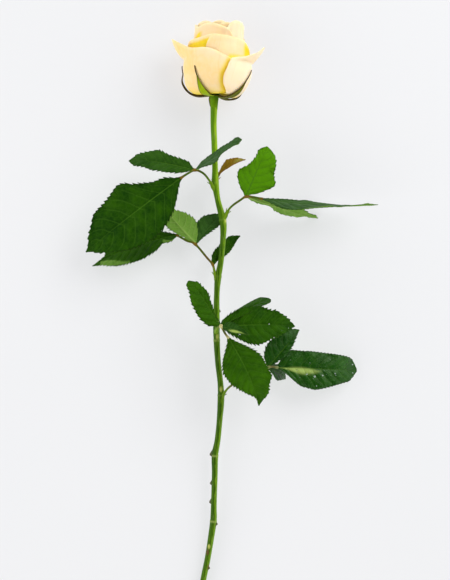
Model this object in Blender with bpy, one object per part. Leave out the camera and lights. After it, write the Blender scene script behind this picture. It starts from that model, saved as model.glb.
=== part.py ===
"""A cut rose lying on a table: a half-open cream bloom in its calyx, on a stem with five compound leaves.

+Y runs along the stem towards the bloom, +Z is up, and the table is z = 0. The origin is the middle of the
rose's footprint. Tables of places and sizes are in millimetres; every mesh is made in metres.
"""

import math

import bmesh
import bpy
import numpy as np
from mathutils import Vector

MM = 0.001

# Driving dimensions, in millimetres.
STEM_RADIUS = 1.95
CUP_RADIUS = 22.9  # the bloom's widest point
BLOOM_TILT_DEG = 2.0  # how far the bloom points up from the table
BLADE_THICKNESS = 0.7
PETAL_THICKNESS = 0.8
PETIOLE_RADIUS = 0.75
FIT_GAP = 0.3  # left between pieces that touch on the real rose

# The stem's centre line from the cut end to the calyx: x, y, z, and its radius as a share of STEM_RADIUS.
STEM_POINTS = (
    (-24.1, -197.8, 2.05, 1.08),
    (-21.3, -184.0, 2.8, 1.0),
    (-18.6, -166.3, 3.7, 1.0),
    (-15.9, -153.0, 4.5, 1.0),
    (-13.7, -139.6, 5.3, 1.05),
    (-11.9, -126.9, 6.1, 1.14),
    (-11.6, -116.3, 6.7, 1.0),
    (-11.0, -96.3, 7.9, 1.0),
    (-10.8, -83.0, 8.9, 1.14),
    (-9.1, -73.1, 9.5, 1.0),
    (-7.8, -59.9, 10.2, 0.98),
    (-6.9, -46.5, 11.0, 1.16),
    (-7.2, -36.0, 11.5, 0.98),
    (-8.8, -22.0, 12.3, 0.98),
    (-9.7, -6.5, 13.1, 1.1),
    (-9.8, 4.0, 13.7, 1.12),
    (-9.6, 22.3, 14.7, 0.96),
    (-8.7, 33.8, 15.2, 1.1),
    (-6.8, 45.1, 15.9, 0.95),
    (-5.5, 59.5, 16.8, 0.97),
    (-5.6, 70.5, 17.4, 1.18),
    (-8.9, 84.1, 18.7, 0.95),
    (-10.5, 95.0, 19.8, 1.18),
    (-10.7, 104.8, 20.6, 0.97),
    (-11.1, 119.6, 21.2, 1.0),
    (-11.6, 133.0, 21.5, 1.03),
    (-11.4, 143.9, 21.6, 1.18),
)
STEM_SIDES = 10
STEM_STEPS = 46
CUT_SLANT = 1.3  # how far the cut end leans along Y per millimetre of height

# Stubs of stripped prickles: distance along Y, the side they stand on (x, z), and their height.
PRICKLE_STUBS = (
    (-83.0, (-1.0, 0.2), 1.5),
    (-101.5, (-1.0, 0.3), 1.1),
    (-113.5, (-1.0, -0.2), 1.3),
    (-127.5, (1.0, 0.4), 1.1),
    (-156.0, (-0.9, 0.5), 1.2),
    (-145.0, (0.3, 1.0), 0.9),
    (-62.0, (0.4, -1.0), 1.4),
    (12.0, (0.8, -0.6), 1.2),
    (52.0, (-0.5, -0.9), 1.2),
)

# The bloom's own axis: where the petals' foot is, and which way the bloom points.
BLOOM_FOOT = Vector((-10.9, 153.7, 21.95))
BLOOM_AXIS = Vector((0.04, 1.0, math.tan(math.radians(BLOOM_TILT_DEG)))).normalized()

# Profiles of the outermost and innermost petals, claw to rim: distance from the axis, height along it.
OUTER_PROFILE = (
    (3.0, 0.0), (7.6, -1.9), (13.2, -1.9), (17.8, 1.4), (21.0, 6.6), (CUP_RADIUS, 13.0), (22.8, 19.0), (22.6, 24.6), (22.9, 30.5),
)
HEART_PROFILE = ((1.0, 1.0), (2.4, 5.0), (4.0, 10.0), (6.0, 16.0), (7.6, 22.0), (8.4, 28.0), (8.2, 34.0), (7.2, 39.5), (5.6, 44.5))

# Petals that show from outside. turn is the azimuth round the axis in degrees, 0 facing up and 90 to +X.
# depth runs from 0 at the outer profile to 1 at the heart's. half_width is in millimetres and height a
# share of the profile's. flare is how far the rim bends outwards, in degrees, at its middle, and
# corner_flare what its two corners add to that. shoulder is how much shorter the petal is at its corners,
# point how much longer at its middle, and narrow how much slimmer at its rim. tuck slides its two margins in
# and out, so that it overlaps one neighbour and slips under the other.
PETAL = {"height": 1.0, "flare": 20, "corner_flare": 10, "shoulder": 0.2, "point": 0.0, "narrow": 0.12, "tuck": 0.6}
SHOWN_PETALS = (
    PETAL | {"turn": 176, "depth": 0.02, "half_width": 27, "height": 0.95, "flare": 0, "tuck": 0.5},
    PETAL | {"turn": -70, "depth": 0.02, "half_width": 34, "height": 0.99, "flare": 42, "corner_flare": -40,
             "shoulder": 0.1, "point": 0.11, "narrow": 0.0, "tuck": -0.9},
    PETAL | {"turn": 86, "depth": -0.03, "half_width": 31, "height": 0.97, "flare": 64, "corner_flare": -62,
             "shoulder": 0.16, "point": 0.08, "narrow": 0.2, "tuck": -0.9},
    PETAL | {"turn": 24, "depth": 0.13, "half_width": 27, "height": 1.03, "flare": 4, "shoulder": 0.16},
    PETAL | {"turn": -132, "depth": 0.12, "half_width": 26, "height": 1.04, "flare": 18},
    PETAL | {"turn": 128, "depth": 0.17, "half_width": 25, "height": 1.14, "flare": 8, "tuck": 0.8},
    PETAL | {"turn": -42, "depth": 0.27, "half_width": 25, "height": 0.97, "flare": 8},
    PETAL | {"turn": -104, "depth": 0.3, "half_width": 23, "height": 1.02, "flare": 20},
    PETAL | {"turn": 170, "depth": 0.32, "half_width": 23, "height": 1.05, "flare": 24},
    PETAL | {"turn": 70, "depth": 0.38, "half_width": 22, "height": 1.04, "flare": 18},
)
# The petals further in follow one another by the golden angle, each a little nearer the heart.
INNER_PETALS = 8
INNER_FIRST_TURN = -14.0
GOLDEN_ANGLE = 137.5
INNER_DEPTHS = (0.48, 1.0)
CORE_PROFILE = ((0.0, 0.0), (4.2, 0.0), (5.2, 4.0), (5.6, 12.0), (6.2, 22.0), (5.8, 30.0), (4.4, 36.5), (2.2, 41.0), (0.0, 42.5))

# Sepals: azimuth at the foot, how far they lean round by the tip, length along the cup, and how far they
# bend back from the petals, in degrees. The last one is pressed back along the stem, out of the way.
SEPALS = ((-24, -14, 34.0, 0), (44, 27, 34.0, 0), (-97, 0, 34.0, 0), (121, 6, 32.0, 0), (-172, 0, 14.0, 75))
SEPAL_HALF_WIDTH = 2.9
SEPAL_CLEARANCE = 1.2  # middle of a sepal to the middle of the petal under it
HIP_PROFILE = ((0.0, -9.4), (2.3, -9.4), (2.45, -6.5), (2.75, -3.6), (3.15, -1.8), (3.0, -0.85), (0.0, -0.85))

# One entry for each compound leaf. path is its petiole and rachis: x, y, z. Each leaflet has its foot on that
# path and its tip; face is the way its upper side looks. left and right are its two halves, looking along it
# from above: widest half width, where along the leaflet that is, and how sharply it tapers either way. bow
# lifts its middle towards face and sway moves it to the right; fold raises both halves from the rib; roll
# bends the margins back; curl drops the tip; twist turns the tip end; teeth is the number along each margin.
LEAVES = {
    "leaf_upper_left": {
        "path": ((-10.5, 90.0, 19.4), (-12.9, 94.2, 22.0), (-15.5, 97.9, 25.5), (-18.6, 100.9, 29.0),
                 (-23.3, 102.5, 32.0), (-27.6, 100.4, 33.4), (-33.0, 96.9, 34.0)),
        "leaflets": (
            {"foot": (-32.4, 97.3, 34.0), "tip": (-94.8, 50.2, 24.0), "face": (-0.1, 0.08, 1.0),
             "left": (21.0, 0.49, 2.2), "right": (19.8, 0.52, 2.2), "bow": 3.0, "sway": 0.0, "fold": 4,
             "roll": 0.1, "curl": 2.0, "twist": 4, "teeth": 13},
            {"foot": (-23.8, 102.6, 32.0), "tip": (-66.4, 110.4, 26.0), "face": (0.05, 0.62, 0.78),
             "left": (8.5, 0.5, 2.0), "right": (9.4, 0.55, 2.0), "bow": 1.5, "sway": 0.0, "fold": 10,
             "roll": 0.1, "curl": 2.0, "twist": -8, "teeth": 9},
            {"foot": (-22.8, 102.8, 32.4), "tip": (5.6, 122.4, 38.5), "face": (-0.52, 0.78, 0.42),
             "left": (9.0, 0.5, 1.8), "right": (9.0, 0.5, 1.8), "bow": -0.5, "sway": 0.0, "fold": 8,
             "roll": 0.1, "curl": 1.5, "twist": 8, "teeth": 8},
        ),
    },
    "leaf_upper_right": {
        "path": ((-5.7, 70.4, 17.6), (-3.3, 75.1, 19.6), (-1.2, 78.4, 21.8), (1.4, 80.8, 23.4),
                 (5.6, 83.6, 25.0), (9.3, 85.8, 26.0), (14.0, 85.6, 25.2), (20.2, 84.4, 24.0)),
        "leaflets": (
            {"foot": (19.8, 84.5, 24.0), "tip": (95.2, 81.0, 20.0), "face": (0.0, 0.97, 0.2),
             "left": (16.0, 0.45, 2.0), "right": (17.0, 0.45, 2.0), "bow": -3.2, "sway": 0.0, "fold": 2,
             "roll": 0.04, "curl": 0.0, "twist": -8, "teeth": 12},
            {"foot": (9.2, 85.9, 26.0), "tip": (22.6, 117.0, 35.0), "face": (-0.1, -0.3, 0.95),
             "left": (11.0, 0.5, 1.9), "right": (12.6, 0.52, 1.6), "bow": 2.0, "sway": 0.8, "fold": -4,
             "roll": 0.1, "curl": 2.0, "twist": 8, "teeth": 8},
            {"foot": (10.4, 85.6, 25.6), "tip": (57.4, 72.4, 0.5), "face": (0.0, 0.9, -0.4),
             "left": (6.2, 0.55, 2.0), "right": (8.6, 0.5, 2.0), "bow": 0.0, "sway": 0.0, "fold": 6,
             "roll": 0.1, "curl": -1.0, "twist": 10, "teeth": 9},
        ),
    },
    "leaf_middle_left": {
        "path": ((-8.9, 29.0, 15.2), (-10.9, 36.7, 15.6), (-12.3, 42.2, 16.0), (-16.0, 46.6, 16.6),
                 (-23.8, 55.6, 17.0), (-29.0, 57.6, 16.4), (-36.3, 61.8, 15.0)),
        "leaflets": (
            {"foot": (-35.6, 61.4, 15.1), "tip": (-91.8, 44.0, 0.6), "face": (0.05, 0.62, 0.78),
             "left": (11.0, 0.45, 2.0), "right": (12.0, 0.5, 2.0), "bow": 4.0, "sway": 0.0, "fold": 8,
             "roll": 0.1, "curl": 0.5, "twist": -12, "teeth": 12},
            {"foot": (-23.6, 56.0, 17.0), "tip": (-45.0, 80.0, 20.0), "face": (-0.1, -0.1, -0.98),
             "left": (11.5, 0.5, 1.8), "right": (10.5, 0.5, 1.8), "bow": 2.0, "sway": 0.0, "fold": 8,
             "roll": 0.1, "curl": 2.0, "twist": 6, "teeth": 8},
            {"foot": (-23.4, 55.8, 17.0), "tip": (-5.8, 76.4, 8.6), "face": (-0.1, 0.45, 0.89),
             "left": (7.4, 0.5, 1.8), "right": (3.8, 0.5, 1.8), "bow": 1.0, "sway": 0.0, "fold": 8,
             "roll": 0.1, "curl": 1.0, "twist": 0, "teeth": 7},
            {"foot": (-12.3, 42.2, 15.9), "tip": (6.0, 61.6, 6.0), "face": (0.2, 0.15, 0.96),
             "left": (5.6, 0.5, 1.8), "right": (4.4, 0.5, 1.8), "bow": -1.5, "sway": 0.0, "fold": 8,
             "roll": 0.1, "curl": 1.0, "twist": 0, "teeth": 7},
        ),
    },
    "leaf_front": {
        "path": ((-9.9, -2.4, 14.0), (-9.2, 0.4, 22.0), (-8.0, 2.2, 30.5), (-6.7, 2.4, 36.5),
                 (-5.4, 0.2, 40.0), (-3.8, -2.6, 41.6), (-1.7, -5.2, 42.4)),
        "leaflets": (
            {"foot": (-2.1, -4.8, 42.3), "tip": (18.2, -49.2, 30.0), "face": (0.1, 0.18, 0.97),
             "left": (13.8, 0.56, 2.2), "right": (15.6, 0.42, 3.0), "bow": 3.0, "sway": -1.4, "fold": 6,
             "roll": 0.1, "curl": 2.0, "twist": 4, "teeth": 12},
            {"foot": (-7.0, 2.6, 36.0), "tip": (-27.0, 32.4, 31.0), "face": (0.3, 0.1, 0.94),
             "left": (8.0, 0.55, 1.5), "right": (4.0, 0.5, 1.5), "bow": 2.0, "sway": 0.0, "fold": 8,
             "roll": 0.1, "curl": 3.0, "twist": 8, "teeth": 8},
            {"foot": (-6.8, 2.6, 36.4), "tip": (24.4, 20.6, 28.0), "face": (-0.45, 0.8, 0.42),
             "left": (7.6, 0.55, 1.6), "right": (6.0, 0.5, 1.6), "bow": 0.8, "sway": 0.0, "fold": 6,
             "roll": 0.1, "curl": 1.0, "twist": 6, "teeth": 8},
            {"foot": (-6.6, 2.4, 36.8), "tip": (40.8, 3.0, 34.0), "face": (-0.05, 0.25, 0.96),
             "left": (12.0, 0.55, 1.8), "right": (12.0, 0.6, 1.8), "bow": 3.0, "sway": 0.0, "fold": 8,
             "roll": 0.1, "curl": 3.0, "twist": -6, "teeth": 10},
            {"foot": (-6.2, 1.8, 38.2), "tip": (9.6, -1.6, 54.0), "face": (-0.6, 0.4, 0.7),
             "left": (5.2, 0.5, 1.8), "right": (5.2, 0.5, 1.8), "bow": 2.0, "sway": 0.0, "fold": 12,
             "roll": 0.05, "curl": 2.0, "twist": 0, "teeth": 6},
        ),
    },
    "leaf_lower_right": {
        "path": ((-7.2, -46.8, 11.2), (-4.2, -41.2, 13.2), (0.3, -36.6, 15.6), (12.0, -29.8, 18.6),
                 (23.8, -24.7, 19.2), (30.5, -24.9, 18.8)),
        "leaflets": (
            {"foot": (29.8, -24.9, 18.9), "tip": (83.6, -27.2, 10.0), "face": (0.08, 0.1, 0.99),
             "left": (11.6, 0.5, 1.1), "right": (12.6, 0.5, 1.3), "bow": 2.5, "sway": 0.0, "fold": 8,
             "roll": 0.16, "curl": 5.0, "twist": -6, "teeth": 12},
            {"foot": (23.6, -24.7, 19.2), "tip": (44.4, -0.4, 16.0), "face": (0.1, 0.0, 0.98),
             "left": (9.4, 0.5, 1.8), "right": (6.4, 0.55, 1.8), "bow": 2.0, "sway": 0.0, "fold": 8,
             "roll": 0.1, "curl": 1.0, "twist": 0, "teeth": 8},
            {"foot": (24.0, -24.9, 19.2), "tip": (36.0, -33.4, 0.7), "face": (0.5, 0.2, 0.84),
             "left": (5.6, 0.5, 1.8), "right": (5.2, 0.5, 1.8), "bow": 1.5, "sway": 0.0, "fold": 8,
             "roll": 0.1, "curl": 0.0, "twist": 0, "teeth": 7},
        ),
    },
    "young_leaf": {
        "path": ((-10.3, 93.2, 19.6), (-9.4, 98.0, 14.2), (-7.6, 102.6, 13.6)),
        "leaflets": (
            {"foot": (-7.8, 102.2, 13.6), "tip": (8.8, 111.6, 14.0), "face": (-0.35, 0.6, 0.7),
             "left": (4.0, 0.5, 1.7), "right": (3.6, 0.45, 1.7), "bow": 1.2, "sway": 0.0, "fold": 16,
             "roll": 0.05, "curl": 1.0, "twist": 0, "teeth": 5},
        ),
    },
}
TOOTH_DEPTH = 0.05  # as a share of the half width
TOOTH_LEAN = 0.35  # how far a tooth points forward, as a share of its spacing
LEAF_ROOT_HALF = 0.8
STIPULE = {"length": 8.0, "half": 1.5, "free": 2.4}

COLOURS = {  # base colour, roughness
    "stem": ((0.12, 0.30, 0.02), 0.45),
    "calyx": ((0.14, 0.28, 0.03), 0.5),
    "bloom": ((0.93, 0.78, 0.45), 0.55),
    "leaf": ((0.03, 0.13, 0.012), 0.35),
    "young_leaf": ((0.30, 0.20, 0.03), 0.4),
}


def smooth(x):
    x = min(max(x, 0.0), 1.0)
    return x * x * (3 - 2 * x)


def on_curve(points, t):
    """The point at share t of a smooth curve through these points (Catmull-Rom)."""
    points = np.asarray(points, float)
    spans = len(points) - 1
    place = min(max(t, 0.0), 1.0) * spans
    i = min(int(place), spans - 1)
    f = place - i
    before = points[i - 1] if i else 2 * points[0] - points[1]
    after = points[i + 2] if i + 2 <= spans else 2 * points[-1] - points[-2]
    a, b = points[i], points[i + 1]
    return 0.5 * (2 * a + (b - before) * f + (2 * before - 5 * a + 4 * b - after) * f**2 + (3 * a - before - 3 * b + after) * f**3)


def tube(path, radii, sides):
    """Points and faces of a closed tube along path, with a flat cap at each end."""
    path = [Vector(p) for p in path]
    points, side = [], Vector((1.0, 0.0, 0.0))
    for i, centre in enumerate(path):
        along = (path[min(i + 1, len(path) - 1)] - path[max(i - 1, 0)]).normalized()
        side = (side - along * side.dot(along)).normalized()
        up = side.cross(along)
        for k in range(sides):
            angle = 2 * math.pi * k / sides
            points.append(centre + (side * math.cos(angle) + up * math.sin(angle)) * radii[i])
    faces = [list(range(sides))[::1], [(len(path) - 1) * sides + k for k in reversed(range(sides))]]
    for i in range(len(path) - 1):
        for k in range(sides):
            a, b = i * sides + k, i * sides + (k + 1) % sides
            faces.append([a, a + sides, b + sides, b])
    return points, faces


def turned(profile, sides, place):
    """Points and faces of a closed solid turned from (radius, height) pairs that start and end on the axis."""
    inner = profile[1:-1]
    points = [place(0.0, 0.0, profile[0][1]), place(0.0, 0.0, profile[-1][1])]
    for radius, height in inner:
        points += [place(radius, 2 * math.pi * k / sides, height) for k in range(sides)]
    faces = []
    last = 2 + (len(inner) - 1) * sides
    for k in range(sides):
        n = (k + 1) % sides
        faces.append([0, 2 + k, 2 + n])
        faces.append([1, last + n, last + k])
        for row in range(len(inner) - 1):
            a, b = 2 + row * sides + k, 2 + row * sides + n
            faces.append([a, a + sides, b + sides, b])
    return points, faces


def sheet(grid, thickness, floor=None):
    """Points and faces of a closed thin solid round a grid of points, both faces split into triangles alike."""
    grid = np.asarray(grid, float)
    rows, columns = grid.shape[:2]
    down = np.gradient(grid, axis=0)
    across = np.gradient(grid, axis=1)
    normal = np.cross(across, down)
    normal /= np.maximum(np.linalg.norm(normal, axis=2, keepdims=True), 1e-9)
    upper, lower = grid + normal * thickness / 2, grid - normal * thickness / 2
    if floor is not None:
        upper[..., 2] = np.maximum(upper[..., 2], np.where(normal[..., 2] > 0, thickness, floor))
        lower[..., 2] = np.maximum(lower[..., 2], np.where(normal[..., 2] > 0, floor, thickness))
    points = [Vector(p) for p in np.concatenate([upper.reshape(-1, 3), lower.reshape(-1, 3)])]
    under = rows * columns
    faces = []
    for i in range(rows - 1):
        for j in range(columns - 1):
            a, b = i * columns + j, i * columns + j + 1
            c, d = a + columns, b + columns
            left_half = j < (columns - 1) / 2
            pair = [(a, b, c), (b, d, c)] if left_half else [(a, b, d), (a, d, c)]
            faces += [list(f) for f in pair]
            faces += [[f[2] + under, f[1] + under, f[0] + under] for f in pair]
    rim = [j for j in range(columns)]
    rim += [i * columns + columns - 1 for i in range(1, rows)]
    rim += [(rows - 1) * columns + j for j in reversed(range(columns - 1))]
    rim += [i * columns for i in reversed(range(1, rows - 1))]
    for k, a in enumerate(rim):
        b = rim[(k + 1) % len(rim)]
        faces += [[b, a, a + under], [b, a + under, b + under]]
    return points, faces


def add_solid(name, shape):
    points, faces = shape
    mesh = bpy.data.meshes.new(name)
    mesh.from_pydata([p * MM for p in points], [], faces)
    work = bmesh.new()
    work.from_mesh(mesh)
    bmesh.ops.recalc_face_normals(work, faces=work.faces)
    work.to_mesh(mesh)
    work.free()
    made = bpy.data.objects.new(name, mesh)
    bpy.context.scene.collection.objects.link(made)
    return made


def drop(made):
    mesh = made.data
    bpy.data.objects.remove(made)
    bpy.data.meshes.remove(mesh)


def combine(target, others, operation, solver):
    """Applies one Boolean of target with all the others, which are then removed."""
    helpers = bpy.data.collections.new(target.name + "_helpers")
    bpy.context.scene.collection.children.link(helpers)
    for other in others:
        bpy.context.scene.collection.objects.unlink(other)
        helpers.objects.link(other)
    boolean = target.modifiers.new(operation, "BOOLEAN")
    boolean.operation = operation
    boolean.solver = solver
    boolean.operand_type = "COLLECTION"
    boolean.collection = helpers
    graph = bpy.context.evaluated_depsgraph_get()
    result = bpy.data.meshes.new_from_object(target.evaluated_get(graph))
    before = target.data
    target.modifiers.clear()
    target.data = result
    bpy.data.meshes.remove(before)
    result.name = target.name
    for other in others:
        drop(other)
    bpy.data.collections.remove(helpers)


def keep_outer_shell(made):
    """Fills hollows that fusing sealed and drops loose scraps: only the largest closed surface stays."""
    work = bmesh.new()
    work.from_mesh(made.data)
    bmesh.ops.triangulate(work, faces=work.faces)
    seen, shells = set(), []
    for start in work.faces:
        if start.index in seen:
            continue
        shell, waiting = [], [start]
        seen.add(start.index)
        while waiting:
            face = waiting.pop()
            shell.append(face)
            for edge in face.edges:
                for near in edge.link_faces:
                    if near.index not in seen:
                        seen.add(near.index)
                        waiting.append(near)
        volume = sum(f.verts[0].co.dot(f.verts[1].co.cross(f.verts[2].co)) for f in shell)
        shells.append((volume, shell))
    largest = max(shells, key=lambda pair: pair[0])[1]
    kept = set(largest)
    bmesh.ops.delete(work, geom=[f for f in work.faces if f not in kept], context="FACES")
    work.to_mesh(made.data)
    work.free()


def finish(made, look):
    colour, roughness = COLOURS[look]
    material = bpy.data.materials.get(look) or bpy.data.materials.new(look)
    material.use_nodes = True
    shader = material.node_tree.nodes["Principled BSDF"]
    shader.inputs["Base Color"].default_value = (*colour, 1.0)
    shader.inputs["Roughness"].default_value = roughness
    made.data.materials.clear()
    made.data.materials.append(material)
    made.data.shade_smooth()
    made.data.set_sharp_from_angle(angle=math.radians(40))


# --- stem ---


def stem_point(share):
    return on_curve(STEM_POINTS, share)


def stem_at(y):
    """Centre and radius of the stem where it crosses this y."""
    low, high = 0.0, 1.0
    for _ in range(30):
        middle = (low + high) / 2
        if stem_point(middle)[1] < y:
            low = middle
        else:
            high = middle
    found = stem_point(low)
    return Vector(found[:3]), found[3] * STEM_RADIUS


def stem_tube(extra):
    """The stem's tube, grown by extra all round."""
    rows = [stem_point(i / STEM_STEPS) for i in range(STEM_STEPS + 1)]
    return tube([r[:3] for r in rows], [r[3] * STEM_RADIUS + extra for r in rows], STEM_SIDES)


def slanted(shape, sides):
    """The same tube with its first ring leaning along Y, as secateurs leave it."""
    points, faces = shape
    centre_z = sum(p.z for p in points[:sides]) / sides
    for p in points[:sides]:
        p.y += (p.z - centre_z) * CUT_SLANT
        p.z = max(p.z, 0.0)
    return points, faces


def prickle_stub(y, side, height):
    """A low blunt cone with an oval foot, long along the stem."""
    centre, radius = stem_at(y)
    out = Vector((side[0], 0.0, side[1])).normalized()
    across = out.cross(Vector((0.0, 1.0, 0.0)))
    along = Vector((0.0, 1.0, 0.0))
    points = []
    for depth, length, width in ((-0.8, 2.2, 1.1), (height * 0.55, 1.1, 0.6), (height, 0.45, 0.35)):
        middle = centre + out * (radius + depth)
        points += [middle + along * length, middle + across * width, middle - along * length, middle - across * width]
    faces = [[3, 2, 1, 0], [8, 9, 10, 11]]
    faces += [[r + k, r + (k + 1) % 4, r + 4 + (k + 1) % 4, r + 4 + k] for r in (0, 4) for k in range(4)]
    return points, faces


def make_stem():
    stem = add_solid("stem", slanted(stem_tube(0.0), STEM_SIDES))
    stubs = [add_solid(f"stub_{i}", prickle_stub(*stub)) for i, stub in enumerate(PRICKLE_STUBS)]
    combine(stem, stubs, "UNION", "EXACT")
    keep_outer_shell(stem)
    finish(stem, "stem")
    return stem


# --- bloom and calyx ---

BLOOM_UP = (Vector((0.0, 0.0, 1.0)) - BLOOM_AXIS * BLOOM_AXIS.z).normalized()
BLOOM_SIDE = BLOOM_AXIS.cross(BLOOM_UP)
BEND_FROM = 0.76  # the share of a petal's length where its rim starts to bend


def in_bloom(radius, turn, height):
    """The point this far from the bloom's axis, this way round it, and this high along it."""
    out = BLOOM_UP * math.cos(turn) + BLOOM_SIDE * math.sin(turn)
    return BLOOM_FOOT + BLOOM_AXIS * height + out * radius


def petal_profile(depth, v):
    """(radius, height) on the cup of petals at this depth, v running from claw to rim."""
    outer, heart = on_curve(OUTER_PROFILE, v), on_curve(HEART_PROFILE, v)
    rise = 1 - (1 - depth) ** 2
    return np.array((outer[0] * (1 - depth) + heart[0] * depth, outer[1] * (1 - rise) + heart[1] * rise))


def petal_place(petal, u, v):
    """(radius, azimuth, height) on a petal: u from -1 to 1 across it, and v from 0 at its claw to 1 at its rim."""
    reach = v * petal["height"] * (1 - petal["shoulder"] * abs(u) ** 3 + petal["point"] * math.exp(-((u / 0.3) ** 2)))
    radius, height = petal_profile(petal["depth"], min(reach, BEND_FROM))
    if reach > BEND_FROM:
        near, far = petal_profile(petal["depth"], BEND_FROM - 0.02), petal_profile(petal["depth"], 1.0)
        slope = math.atan2(radius - near[0], height - near[1])
        share = (reach - BEND_FROM) / (1 - BEND_FROM)
        bend = math.radians(petal["flare"] + petal["corner_flare"] * u * u) * share
        rim = share * math.dist((radius, height), far)
        radius += rim * math.sin(slope + bend / 2)
        height += rim * math.cos(slope + bend / 2)
    height += 2.2 * u * u * max(0.0, 1 - v / 0.35) * v / 0.12 * (1 - petal["depth"])
    width = petal["half_width"] * (0.2 + 0.8 * math.sin(min(v / 0.55, 1.0) * math.pi / 2))
    width *= 1 - petal["narrow"] * smooth((v - 0.55) / 0.45)
    azimuth = math.radians(petal["turn"]) + u * width / max(radius + 1.5, 6.0)
    radius += petal["tuck"] * u * smooth(v / 0.3)
    return radius, azimuth, height


def petal_shape(petal, columns, rows):
    steps = [2 * j / columns - 1 for j in range(columns + 1)]
    grid = [[in_bloom(*petal_place(petal, u, i / rows)) for u in steps] for i in range(rows + 1)]
    return sheet(grid, PETAL_THICKNESS, floor=0.0)


def inner_petals():
    first, last = INNER_DEPTHS
    for i in range(INNER_PETALS):
        share = i / (INNER_PETALS - 1)
        yield PETAL | {
            "turn": INNER_FIRST_TURN + GOLDEN_ANGLE * i,
            "depth": first + (last - first) * share,
            "half_width": 20 - 9 * share,
            "height": 1.04 - 0.05 * share,
            "flare": 16 - 12 * share,
        }


def make_bloom():
    core = add_solid("bloom", turned(CORE_PROFILE, 12, in_bloom))
    petals = [add_solid(f"petal_{i}", petal_shape(p, 12 if i == 0 else 6, 8)) for i, p in enumerate(SHOWN_PETALS)]
    petals += [add_solid(f"inner_{i}", petal_shape(p, 5, 5)) for i, p in enumerate(inner_petals())]
    combine(core, petals, "UNION", "MANIFOLD")
    keep_outer_shell(core)
    finish(core, "bloom")
    return core


def petals_round(azimuth):
    """Outermost (radius, height) places of the petals within a few degrees of this azimuth, foot to rim."""
    near = []
    for petal in SHOWN_PETALS[:3]:
        for i in range(41):
            for j in range(41):
                radius, turn, height = petal_place(petal, j / 20 - 1, i / 40 * 0.78)
                if abs((turn - azimuth + math.pi) % (2 * math.pi) - math.pi) * radius < SEPAL_HALF_WIDTH + 0.6:
                    near.append((radius, height))
    near = np.array(near)
    places = []
    for i in range(49):
        angle = math.radians(-95 + 125 * i / 48)
        centre = np.array((9.0, 13.0))
        out = np.array((math.cos(angle), math.sin(angle)))
        places.append(centre + out * (np.max((near - centre) @ out) + SEPAL_CLEARANCE))
    return places


def sepal_shape(turn, lean, length, bend_back):
    """A green blade that tapers to a thread and follows the cup outside the petals."""
    rows, grid = 12, []
    foot = np.array((2.4, -1.7))
    for i in range(rows + 1):
        share = i / rows
        azimuth = math.radians(turn + lean * share * share)
        if bend_back:
            angle = math.radians(90 + bend_back * smooth(share * 1.4))
            place = foot + length * share * np.array((math.sin(angle), math.cos(angle)))
        else:
            run = [foot, np.array((4.6, -2.6))] + [p for p in petals_round(azimuth) if p[0] > 7.5]
            steps = np.concatenate([[0.0], np.cumsum([math.dist(a, b) for a, b in zip(run, run[1:])])])
            place = np.array([np.interp(share * length, steps, [p[k] for p in run]) for k in (0, 1)])
        half = SEPAL_HALF_WIDTH * (0.13 + 0.87 * (1 - smooth((share - 0.35) / 0.45)))
        half *= 0.7 + 0.3 * smooth(share * 5)
        row = []
        for u in (-1, 0, 1):
            radius = place[0] + 0.3 * abs(u)
            row.append(in_bloom(radius, azimuth + u * half / max(radius, 3.4), place[1]))
        grid.append(row)
    return sheet(grid, BLADE_THICKNESS, floor=0.0)


def make_calyx():
    calyx = add_solid("calyx", turned(HIP_PROFILE, 12, in_bloom))
    sepals = [add_solid(f"sepal_{i}", sepal_shape(*sepal)) for i, sepal in enumerate(SEPALS)]
    combine(calyx, sepals, "UNION", "EXACT")
    keep_outer_shell(calyx)
    finish(calyx, "calyx")
    return calyx


# --- leaves ---


def leaf_half(side, t):
    """Half width at share t of a leaflet's length, from that side's (widest, where, taper)."""
    widest, peak, taper = side
    t = min(max(t, 1e-6), 1 - 1e-6)
    return widest * (t / peak) ** (taper * peak) * ((1 - t) / (1 - peak)) ** (taper * (1 - peak))


def leaflet_point(leaflet, t, u, out=1.0):
    """t runs from foot to tip, and u from -1 to 1 across. out stretches the half width for teeth."""
    foot, tip = Vector(leaflet["foot"]), Vector(leaflet["tip"])
    along = (tip - foot).normalized()
    face = Vector(leaflet["face"])
    face = (face - along * face.dot(along)).normalized()
    side = along.cross(face)
    arch = 4 * t * (1 - t)
    rib = foot + (tip - foot) * t + side * (leaflet["sway"] * arch)
    rib += face * (leaflet["bow"] * arch - leaflet["curl"] * smooth((t - 0.65) / 0.35) ** 2)
    angle = math.radians(leaflet["twist"]) * (t - 0.5)
    face, side = face * math.cos(angle) + side * math.sin(angle), side * math.cos(angle) - face * math.sin(angle)
    widest = leaflet["left"][0] if u < 0 else leaflet["right"][0]
    half = leaf_half(leaflet["left"] if u < 0 else leaflet["right"], t) * out
    reach = u * max(half, LEAF_ROOT_HALF * (1 - 0.6 * t))
    rise = abs(reach) * math.tan(math.radians(leaflet["fold"])) - leaflet["roll"] * reach * reach / widest
    return rib + side * reach + face * rise


def leaflet_shape(leaflet):
    rows = 2 * leaflet["teeth"]
    columns = (-1.0, -0.5, 0.0, 0.5, 1.0) if leaflet["teeth"] >= 10 else (-1.0, 0.0, 1.0)
    grid = []
    for i in range(rows + 1):
        row = []
        for u in columns:
            t, out = i / rows, 1.0
            if abs(u) == 1.0 and 1 < i < rows - 1:
                tooth = i % 2 == 1
                t += (TOOTH_LEAN if tooth else -TOOTH_LEAN) * 0.5 / rows
                out = 1.0 + (TOOTH_DEPTH if tooth else -TOOTH_DEPTH)
            row.append(leaflet_point(leaflet, t, u, out))
        grid.append(row)
    return sheet(grid, BLADE_THICKNESS, floor=0.0)


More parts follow.
